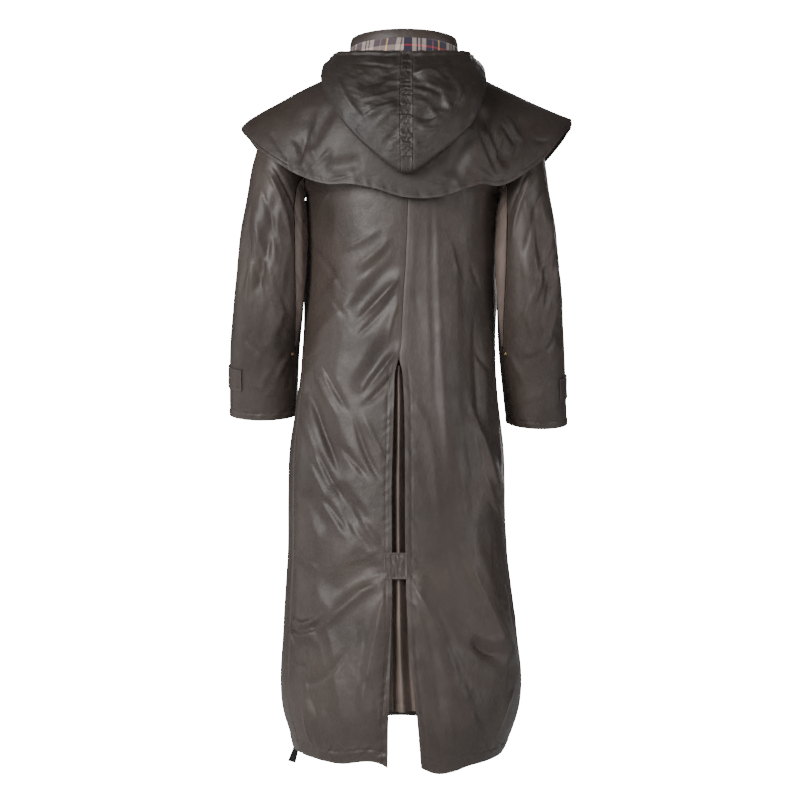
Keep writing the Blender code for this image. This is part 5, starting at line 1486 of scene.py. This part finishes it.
def metal(name, light, dark, roughness):
    """Plated metal with faint turning marks and tarnish."""
    graph = Graph(name)
    where = graph.add("ShaderNodeTexCoord").outputs["Object"]
    tarnish = graph.between(graph.noise(where, scale=600.0, detail=3.0), 0.35, 0.65)
    return graph.shade(
        Base_Color=graph.mix(tarnish, light, dark),
        Metallic=1.0,
        Roughness=graph.between(tarnish, 0.0, 1.0, roughness, roughness + 0.18),
        Normal=graph.bump(graph.noise(where, scale=2500.0, detail=2.0), 0.00003, 0.4),
    )


def thread_material():
    """Twisted polyester thread."""
    graph = Graph("thread")
    where = graph.add("ShaderNodeTexCoord").outputs["Object"]
    shade = graph.noise(where, scale=1500.0, detail=1.0)
    colour = graph.mix(graph.between(shade, 0.3, 0.7), THREAD, LIGHT_THREAD)
    dull = graph.between(shade, 0.3, 0.7, 0.55, 0.70)
    return graph.shade(Base_Color=colour, Roughness=dull, Normal=graph.bump(shade, 0.0001, 0.4))


def kept_to_side(points, ahead):
    """The points, kept ahead of or behind the shoulder seam down to the armhole's lower end."""
    kept = points.copy()
    y = points[..., 1]
    limited = np.maximum(y, SEAM / 2) if ahead else np.minimum(y, -SEAM / 2)
    kept[..., 1] = np.where(points[..., 2] > ARMHOLE_BOTTOM_Z + ABOVE_ARMHOLE, limited, y)
    return kept


def below_neck(z):
    """0 at the neck seam, 1 from a little below it."""
    return smooth((NECK_FADE_Z - z) / NECK_FADE)


def side_fill(from_seam, z):
    """Fullness at the side seam, beside the sleeve."""
    return SIDE_FILL * fade(from_seam, SIDE_FILL_REACH) * fade(z - SIDE_FILL_Z, SIDE_FILL_HALF_HEIGHT)


def make_back(side, cloth):
    """A back panel, sewn at vent, hem and side. Returns its lines of stitches."""
    sign = SIGN[side]
    low = spaced(ARMHOLE_BOTTOM_Z - HEM[0].z, BACK_STEPS[1], HEM_MARGIN, 0.0)
    across = spaced(BODY_WIDTH, BACK_STEPS[0], VENT_MARGIN, SIDE_MARGIN)
    points = body_panel(side, False, across, low, np.linspace(0, 1, BACK_UPPER_ROWS))
    near = edges(points)
    z = points[..., 2]
    vent = smooth((GUSSET_TOP_Z + ABOVE_VENT - z) / VENT_FADE)
    relief = vent * sewn(near.start, near.low, VENT_STITCH, BACK_PUCKER, VENT_SEED + sign)
    seam = seam_dip(near.start) - 0.5 * STITCH_SUNK * fade(near.start - SEAM_STITCH, STITCH_REACH)
    relief = relief + (1 - vent) * seam + seam_dip(near.end)
    relief = relief + sewn(near.low, near.start, HEM_STITCH, BACK_PUCKER, BACK_HEM_SEED + sign)
    relief = relief + side_fill(near.end, z)
    points = kept_to_side(raised(points, relief * sign * below_neck(z)), False)
    dress(f"back_{side}", points, sign, CLOTH, cloth)
    lines = [thread_line(points, "low", HEM_STITCH, sign)]
    if side == "right":
        return lines + [thread_line(points, "start", VENT_STITCH, sign)]
    vent_only = points[: int(np.searchsorted(points[:, 0, 2], GUSSET_TOP_Z))]
    return lines + [
        thread_line(points, "start", SEAM_STITCH, sign),
        thread_line(vent_only, "start", VENT_STITCH, sign),
    ]


def front_rows():
    """Rows of a front: shares up to the armhole, then shares up to the shoulder."""
    low = spaced(ARMHOLE_BOTTOM_Z - HEM[0].z, FRONT_STEPS[1], HEM_MARGIN, 0.0)
    return low, np.linspace(0, 1, FRONT_UPPER_ROWS)


def make_front(side, cloth):
    """A front panel with its overlap. Returns its lines of stitches."""
    sign = SIGN[side]
    across = spaced(BODY_WIDTH, FRONT_STEPS[0], FRONT_MARGIN, SIDE_MARGIN)
    panel = body_panel(side, True, across, *front_rows())
    points = np.concatenate([front_strip(side, OVERLAP_COLUMNS, *front_rows()), panel], axis=1)
    if side == "right":
        ramp = smooth((FRONT_RAMP_END - points[..., 0]) / (FRONT_RAMP_END - FRONT_RAMP_START))
        points = raised(points, FRONT_DROP * ramp)
    near = edges(points)
    z = points[..., 2]
    relief = seam_dip(near.end) + sewn(near.low, near.start, HEM_STITCH, FRONT_PUCKER, FRONT_HEM_SEED + sign)
    relief = (relief + side_fill(near.end, z)) * below_neck(z)
    points = kept_to_side(raised(points, -sign * relief), True)
    dress(f"front_{side}", points, -sign, CLOTH, cloth)
    return [thread_line(points, "low", HEM_STITCH, -sign)]


def make_flap(cloth):
    """The flap over the front closing. Returns its lines of stitches."""
    x = np.linspace(-FLAP_HALF_WIDTH, FLAP_HALF_WIDTH, FLAP_COLUMNS)
    wide, tall = np.meshgrid(x, row_heights(*front_rows(), math.pi, True)[1:-1])
    points = body_cloth(body_angle(wide + 1e-6, tall, True), tall, CLOTH + FLAP_LIFT + FLAP_CLEARANCE)
    near = edges(points)
    relief = sewn(np.minimum(near.start, near.end), near.low, SEAM_STITCH, FLAP_PUCKER, FLAP_SEED)
    points = raised(points, -np.maximum(relief, 0.0))
    dress("front_flap", points, -1, CLOTH, cloth)
    return [thread_line(points, edge, SEAM_STITCH, -1) for edge in ("start", "end")]


def make_body(cloth, thread):
    """Backs, fronts and flap, with their stitches."""
    lines = []
    for side in SIGN:
        lines += make_back(side, cloth) + make_front(side, cloth)
    add_thread("thread_body", lines + make_flap(cloth), thread)


def make_gusset(cloth):
    """The folded piece behind the vent. Returns its line of stitches."""
    z = np.linspace(GUSSET_HEM_Z, GUSSET_TOP_Z, GUSSET_ROWS)
    start = column(CENTRE_BACK, "left", z) - GUSSET_SPREAD
    stop = column(CENTRE_BACK, "right", z) + GUSSET_SPREAD
    share = np.linspace(0, 1, GUSSET_COLUMNS)
    half = [GUSSET_END_DEPTH, GUSSET_SHOULDER_DEPTH, GUSSET_DEPTH]
    depths = curve(GUSSET_STOPS, half + [GUSSET_RIDGE_DEPTH] + half[::-1], share)
    x = start[:, None] + (stop - start)[:, None] * share[None, :]
    tall = np.broadcast_to(z[:, None], x.shape)
    points = body_cloth(body_angle(x, tall, False), tall, -depths[None, :])
    near = edges(points)
    relief = sewn(near.low, near.start, GUSSET_STITCH, GUSSET_PUCKER, GUSSET_SEED)
    relief = relief + grained(BODY_GRAIN, x, tall) * GUSSET_WRINKLES
    points = raised(points, relief * smooth(np.minimum(near.start, near.end) / GUSSET_EDGE_FADE))
    # The cloth given here is the lighter copy of the nylon: painted light in the vent's shade
    dress("vent_gusset", points, 1, CLOTH, cloth)
    return [thread_line(points, "low", GUSSET_STITCH, 1)]


def make_vent_tab(cloth):
    """The gathered strap that holds the vent. Returns its lines of stitches."""
    x = np.linspace(TAB_LEFT_X, TAB_RIGHT_X, TAB_COLUMNS)
    wide, tall = np.meshgrid(x, np.linspace(TAB_BOTTOM_Z, TAB_TOP_Z, TAB_ROWS))
    points = body_cloth(body_angle(wide, tall, False), tall, TAB_LIFT + CLOTH)
    near = edges(points)
    nearest = np.minimum(np.minimum(near.start, near.end), np.minimum(near.low, near.high))
    gathers = TAB_GATHER * noise(near.start + TAB_GATHER_SLANT * near.low, near.low, *TAB_GATHER_SIZE, TAB_SEED)
    boxed = -TAB_SUNK * fade(nearest - TAB_STITCH, TAB_SUNK_REACH)
    boxed = boxed - TAB_BOX_SUNK * fade(near.start - TAB_BOX_STITCH, TAB_BOX_REACH)
    points = raised(points, gathers * smooth(nearest / TAB_GATHER_FADE) + boxed)
    dress("vent_tab", points, 1, CLOTH, cloth)
    lines = [thread_line(points, edge, TAB_STITCH, 1) for edge in Edges._fields]
    return lines + [thread_line(points, "start", TAB_BOX_STITCH, 1)]


def make_sleeve(side, cloth):
    """A top sleeve. Returns its lines of stitches."""
    sign = SIGN[side]
    across = spaced(SLEEVE_WIDTH, SLEEVE_STEPS[0], SLEEVE_MARGIN, SLEEVE_MARGIN)
    points = sleeve_grid(side, across, spaced(SLEEVE_LENGTH, SLEEVE_STEPS[1], 0.0, CUFF_MARGIN))
    near = edges(points)
    relief = seam_dip(near.start) + seam_dip(near.end)
    relief = relief + sewn(near.high, near.start, CUFF_STITCH, CUFF_PUCKER, CUFF_SEED + sign)
    points = raised(points, -sign * relief)
    dress(f"sleeve_{side}", points, -sign, CLOTH, cloth)
    lines = [thread_line(points, "high", CUFF_STITCH, -sign)]
    return lines + [thread_line(points, edge, PANEL_STITCH, -sign) for edge in ("start", "end")]


def make_underarm(side, cloth):
    """An underarm piece, fuller in its middle."""
    sign = SIGN[side]
    points = underarm_grid(side, np.linspace(0, 1, UNDERARM_COLUMNS), np.linspace(0, 1, UNDERARM_ROWS))
    near = edges(points)
    sideways, endways = np.minimum(near.start, near.end), np.minimum(near.low, near.high)
    slanted = near.low + UNDERARM_PUCKER_SLANT * near.start
    puckers = noise(slanted, near.start, *UNDERARM_PUCKER_SIZE, UNDERARM_SEED + sign) * UNDERARM_PUCKER
    full = smooth(endways / UNDERARM_END_FADE) * smooth(sideways / UNDERARM_SIDE_FADE)
    points = raised(points, -sign * (puckers * smooth(sideways / UNDERARM_PUCKER_FADE) + UNDERARM_FILL * full))
    dress(f"underarm_{side}", points, -sign, CLOTH, cloth)


def make_cuff_tab(side, cloth):
    """The tab round the cuff. Returns its lines of stitches."""
    sign, tab = SIGN[side], CUFF_TABS[side]
    row = np.linspace(tab.row - tab.half_width, tab.row + tab.half_width, CUFF_TAB_ROWS)[:, None]
    phi = np.radians(np.linspace(tab.from_degrees, tab.to_degrees, CUFF_TAB_COLUMNS))[None, :]
    points = sleeve_cloth(side, row, phi, CUFF_TAB_LIFT + CLOTH)
    near = edges(points)
    nearest = np.minimum(near.start, np.minimum(near.low, near.high))
    points = raised(points, sign * -CUFF_TAB_SUNK * fade(nearest - TAB_STITCH, TAB_SUNK_REACH))
    dress(f"cuff_tab_{side}", points, sign, CLOTH, cloth)
    return [thread_line(points, edge, TAB_STITCH, sign) for edge in ("start", "low", "high")]


def make_fastenings(side, brass, dark_metal):
    """The eyelet rivet at the lower end of an underarm piece, and the press stud of a cuff tab."""
    turn = float(underarm_middle(1.0)) + RIVET_TURN
    row = UNDERARM_END + RIVET_BELOW_TIP
    place, further = sleeve_cloth(side, row, turn, RIVET_LIFT), sleeve_cloth(side, row, turn, 1.0)
    eyelet = [(RIVET_RADIUS * wide, RIVET_HEIGHT * high) for wide, high in EYELET_PROFILE]
    add_turned(f"rivet_{side}", place, further - place, eyelet, EYELET_SIDES, brass)
    row, phi = CUFF_TABS[side].row, math.radians(CUFF_TABS[side].from_degrees - STUD_PAST_TAB_DEGREES)
    place = sleeve_cloth(side, row, phi, CUFF_TAB_LIFT + LAYER + CLOTH)
    further = sleeve_cloth(side, row, phi, 1.0)
    cap = [(STUD_RADIUS * wide, STUD_HEIGHT * high) for wide, high in CAP_PROFILE]
    add_turned(f"cuff_stud_{side}", place, further - place, cap, CAP_SIDES, dark_metal)


def make_sleeves(cloth, underarm_painted_light_cloth, thread, brass, dark_metal):
    """Sleeves, underarm pieces with eyelet rivets, and cuff tabs with press studs."""
    lines = []
    for side in SIGN:
        lines += make_sleeve(side, cloth)
        # The underarm piece takes the lighter copy of the nylon: painted light on the strip between arm and body
        make_underarm(side, underarm_painted_light_cloth)
        lines += make_cuff_tab(side, cloth)
        make_fastenings(side, brass, dark_metal)
    add_thread("thread_sleeves", lines, thread)


def make_cape(cloth, thread):
    """The cape's back and two fronts, with a double row of stitches at the hem."""
    lines = []
    down = spaced(CAPE_LENGTH, CAPE_ROW_STEP, 0.0, CAPE_HEM_MARGIN)
    tip_left, tip_right = CAPE_BACK[0].x, CAPE_BACK[-1].x

    def hemmed(points, outward, seed):
        near = edges(points)
        relief = sewn(near.high, near.start, CAPE_STITCHES[1], CAPE_PUCKER, seed)
        relief = relief - 0.6 * STITCH_SUNK * fade(near.high - CAPE_STITCHES[0], CAPE_STITCH_REACH)
        return raised(points, relief * outward)

    x = tip_left + (tip_right - tip_left) * spaced(CAPE_WIDTH, CAPE_STEP, CAPE_MARGIN, CAPE_MARGIN)
    points = kept_to_side(hemmed(cape_grid(x, down, False, -1), -1, CAPE_BACK_SEED), False)
    dress("cape_back", points, -1, CLOTH, cloth)
    lines += [thread_line(points, "high", at, -1) for at in CAPE_STITCHES]
    shares = spaced(CAPE_FRONT_WIDTH, CAPE_FRONT_STEP, CAPE_FRONT_MARGIN, CAPE_MARGIN)
    for side, sign in SIGN.items():
        tip = tip_right if side == "right" else -tip_left
        x = sign * (CAPE_FRONT_EDGE + (tip - CAPE_FRONT_EDGE) * shares)
        points = kept_to_side(hemmed(cape_grid(x, down, True, sign), sign, CAPE_FRONT_SEED + sign), True)
        dress(f"cape_front_{side}", points, sign, CLOTH, cloth)
        lines += [thread_line(points, "high", at, sign) for at in CAPE_STITCHES]
    add_thread("thread_cape", lines, thread)


def make_hood(cloth, thread):
    """The hood's two sides with their rim channel, and the gathered strip between them."""
    lines = []
    start, end = HOOD[0].degrees, HOOD[-1].degrees
    shares = np.concatenate([
        np.linspace(0, HOOD_INNER_SHARE, HOOD_INNER_ROWS)[:-1],
        np.linspace(HOOD_INNER_SHARE, HOOD_OUTER_SHARE, HOOD_TURN_ROWS)[:-1],
        np.linspace(HOOD_OUTER_SHARE, 1, HOOD_OUTER_ROWS),
    ])
    for side, low, high in (
        ("left", start, -STRIP_HALF_DEGREES - HOOD_SEAM_DEGREES),
        ("right", STRIP_HALF_DEGREES + HOOD_SEAM_DEGREES, end),
    ):
        even = np.linspace(0, 1, HOOD_COLUMNS)
        drawn = even**HOOD_CROWDING if side == "left" else 1 - (1 - even) ** HOOD_CROWDING
        points = hood_grid(low + (high - low) * drawn, shares)
        near = edges(points)
        rim = near.high
        channel = RIM_CHANNEL * fade(rim - RIM_CHANNEL_AT, RIM_CHANNEL_AT)
        channel = channel - STITCH_SUNK * fade(rim - HOOD_EDGE_STITCH, STITCH_REACH)
        gathers = RIM_GATHER * noise(near.start, rim, *RIM_GATHER_SIZE, RIM_SEED)
        gathers = gathers * fade(rim - RIM_GATHER_AT, RIM_GATHER_REACH)
        points = raised(points, channel + gathers)
        dress(f"hood_{side}", points, 1, HOOD_CLOTH, cloth)
        lines += [thread_line(points, "high", HOOD_EDGE_STITCH, 1)]
        lines += [thread_line(points, "end" if side == "left" else "start", PANEL_STITCH, 1)]
    angles = np.linspace(-STRIP_HALF_DEGREES, STRIP_HALF_DEGREES, STRIP_COLUMNS)
    fine = np.concatenate([shares[:STRIP_LOWER_ROWS], np.linspace(HOOD_OUTER_SHARE, 1, STRIP_OUTER_ROWS)])
    points = hood_grid(angles, fine)
    near = edges(points)
    across = near.start - near.start[:, -1:] / 2
    slanted = near.low + STRIP_TUCK_SLANT * np.abs(across)
    tucks = noise(across * STRIP_TUCK_STRETCH, slanted, *STRIP_TUCK_SIZE, STRIP_SEED)
    tucks = STRIP_TUCK * tucks * smooth((fine - HOOD_OUTER_SHARE) / STRIP_TUCK_START)[:, None]
    points = raised(points, tucks * smooth(np.minimum(near.start, near.end) / STRIP_TUCK_FADE))
    dress("hood_strip", points, 1, HOOD_CLOTH, cloth)
    lines += [thread_line(points, "start", 0.5 * float(near.start[0, -1]), 1)]
    add_thread("thread_hood", lines, thread)


def make_collar(cloth, thread, left_check, right_check):
    """The collar stand, its checked under side in two halves, and its plain top band."""
    end = COLLAR_END_DEGREES
    around = np.linspace(-end, end, COLLAR_COLUMNS)
    stand = collar_grid(around, np.linspace(0, 1, COLLAR_ROWS), 0)
    dress("collar", stand, 1, COLLAR_WALL, cloth)
    lift, gap = COLLAR_LAYER + THIN_CLOTH, CHECK_GAP_DEGREES
    up = np.linspace(CHECK_BOTTOM_SHARE, BAND_SHARE - CHECK_TOP_GAP, CHECK_ROWS)
    left = collar_grid(np.linspace(-end, -gap, CHECK_COLUMNS), up, lift)
    right = collar_grid(np.linspace(gap, end, CHECK_COLUMNS), up, lift)
    dress("undercollar_left", left, 1, THIN_CLOTH, left_check)
    dress("undercollar_right", right, 1, THIN_CLOTH, right_check)
    band = collar_grid(around, np.linspace(BAND_SHARE, 1, BAND_ROWS), lift)
    near = edges(band)
    middle = near.low - (near.low + near.high) / 2
    band = raised(band, BAND_ROLL * fade(middle, BAND_ROLL_REACH) - BAND_EDGE_DROP)
    dress("collar_band", band, 1, THIN_CLOTH, cloth)
    add_thread("thread_collar", [thread_line(band, edge, BAND_STITCH, 1) for edge in ("low", "high")], thread)


def make_strap(material):
    """The end of a leg strap that hangs inside the hem at the left side."""
    share = np.linspace(0, 1, STRAP_ROWS)[:, None]
    across = np.linspace(-0.5, 0.5, STRAP_COLUMNS)[None, :]
    x = STRAP_TOP_X + (STRAP_END_X - STRAP_TOP_X) * share**2 + STRAP_TWIST * across * share
    y = STRAP_Y + STRAP_WIDTH * across
    z = STRAP_TOP_Z + (STRAP_END_Z - STRAP_TOP_Z) * share - STRAP_SLANT * across * share
    points = np.stack([x + 0 * z, y + 0 * z, z], axis=-1)
    near = edges(points)
    points = raised(points, STRAP_RIB * np.sin(near.low * 2 * math.pi / STRAP_RIB_PITCH))
    dress("leg_strap", points, 1, STRAP_THICKNESS, material)


def add_camera():
    """The photograph's view: level, square on to the back."""
    camera = bpy.data.cameras.new("camera")
    camera.sensor_width = SENSOR_WIDTH
    camera.lens = SENSOR_WIDTH * PIXELS_PER_METRE * CAMERA_DISTANCE / PHOTO_SIZE
    camera.shift_x = -CENTRE_OFFSET_PIXELS / PHOTO_SIZE
    thing = placed("camera", camera)
    thing.location = (0.0, -CAMERA_DISTANCE, CAMERA_HEIGHT)
    thing.rotation_euler = (math.pi / 2, 0.0, 0.0)
    bpy.context.scene.camera = thing


def add_light(name, place, aim, size, power):
    """A square soft box that faces a point."""
    light = bpy.data.lights.new(name, "AREA")
    light.shape = "RECTANGLE"
    light.size, light.size_y = size
    light.energy = power
    thing = placed(name, light)
    thing.location = place
    thing.rotation_euler = (Vector(aim) - Vector(place)).to_track_quat("-Z", "Y").to_euler()


def add_studio():
    """A pale floor, a pale surround and soft lights."""
    reach = FLOOR_REACH
    mesh = bpy.data.meshes.new("floor")
    corners = [(-reach, -reach, FLOOR_Z), (reach, -reach, FLOOR_Z), (reach, reach, FLOOR_Z), (-reach, reach, FLOOR_Z)]
    mesh.from_pydata(corners, [], [(0, 1, 2, 3)])
    floor = placed("floor", mesh)
    graph = Graph("pale_floor")
    where = graph.add("ShaderNodeTexCoord").outputs["Object"]
    pale = graph.mix(graph.noise(where, scale=0.6, detail=1.0), PALE_FLOOR, PALER_FLOOR)
    graph.shade(Base_Color=pale, Roughness=0.95, Specular_IOR_Level=0.1)
    glow = graph.add("ShaderNodeEmission", Strength=BACKDROP_GLOW)
    lit_and_glowing, seen_floor = graph.add("ShaderNodeAddShader"), graph.add("ShaderNodeMixShader")
    graph.links.new(graph.shader.outputs[0], lit_and_glowing.inputs[0])
    graph.links.new(glow.outputs[0], lit_and_glowing.inputs[1])
    graph.links.new(graph.add("ShaderNodeLightPath").outputs["Is Camera Ray"], seen_floor.inputs[0])
    graph.links.new(graph.shader.outputs[0], seen_floor.inputs[1])
    graph.links.new(lit_and_glowing.outputs[0], seen_floor.inputs[2])
    graph.links.new(seen_floor.outputs[0], graph.nodes["Material Output"].inputs["Surface"])
    mesh.materials.append(graph.material)
    world = bpy.data.worlds.new("surround")
    bpy.context.scene.world = world
    world.use_nodes = True
    nodes, links = world.node_tree.nodes, world.node_tree.links
    seen, lit = nodes["Background"], nodes.new("ShaderNodeBackground")
    seen.inputs["Color"].default_value = BACKDROP_WHITE
    seen.inputs["Strength"].default_value = BACKDROP_GLOW
    lit.inputs["Color"].default_value = AMBIENT_WHITE
    lit.inputs["Strength"].default_value = AMBIENT
    path, mixed = nodes.new("ShaderNodeLightPath"), nodes.new("ShaderNodeMixShader")
    links.new(path.outputs["Is Camera Ray"], mixed.inputs[0])
    links.new(lit.outputs[0], mixed.inputs[1])
    links.new(seen.outputs[0], mixed.inputs[2])
    links.new(mixed.outputs[0], nodes["World Output"].inputs["Surface"])
    for light in LIGHTS:
        add_light(light.name, light.place, LIT_POINT, light.size, light.power)


def main():
    """Every piece in place of its CAD node, then the studio and the camera."""
    cloth = nylon("brown_nylon_cloth", LIGHT_BROWN, DARK_BROWN, roughness=0.50, crinkle=1.0)
    # The cape takes a darker copy of the same nylon: painted shade
    shaded_cape_cloth = nylon("brown_nylon_cape_painted_shade", SHADED_CAPE_LIGHT_BROWN, SHADED_CAPE_DARK_BROWN, roughness=0.55, crinkle=1.0)
    # The gusset and underarm pieces take a lighter copy of the nylon: painted light in their shaded recesses
    painted_light_tones = PAINTED_LIGHT_PALE_BROWN, PAINTED_LIGHT_DEEP_BROWN
    painted_light_cloth = nylon("brown_nylon_painted_light", *painted_light_tones, roughness=0.52, crinkle=0.8)
    # The hood takes a darker copy of the same nylon: painted shade
    shaded_hood_cloth = nylon("brown_nylon_hood_painted_shade", SHADED_HOOD_LIGHT_BROWN, SHADED_HOOD_DARK_BROWN, roughness=0.53, crinkle=1.0)
    thread = thread_material()
    brass = metal("polished_brass", BRASS, TARNISHED_BRASS, roughness=0.24)
    dark_metal = metal("dark_plate", PLATE, TARNISHED_PLATE, roughness=0.34)
    make_body(cloth, thread)
    lines = make_gusset(painted_light_cloth)
    add_thread("thread_vent", lines + make_vent_tab(cloth), thread)
    make_sleeves(cloth, painted_light_cloth, thread, brass, dark_metal)
    make_cape(shaded_cape_cloth, thread)
    make_hood(shaded_hood_cloth, thread)
    faded_check = check_cotton("faded_check", LEFT_LEVEL_STRIPES, shift=0.0325, faded=0.06)
    dark_check = check_cotton("dark_check", RIGHT_LEVEL_STRIPES, shift=0.004, faded=-0.12)
    make_collar(cloth, thread, faded_check, dark_check)
    make_strap(webbing("black_webbing"))
    add_camera()
    add_studio()


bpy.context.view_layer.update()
main()
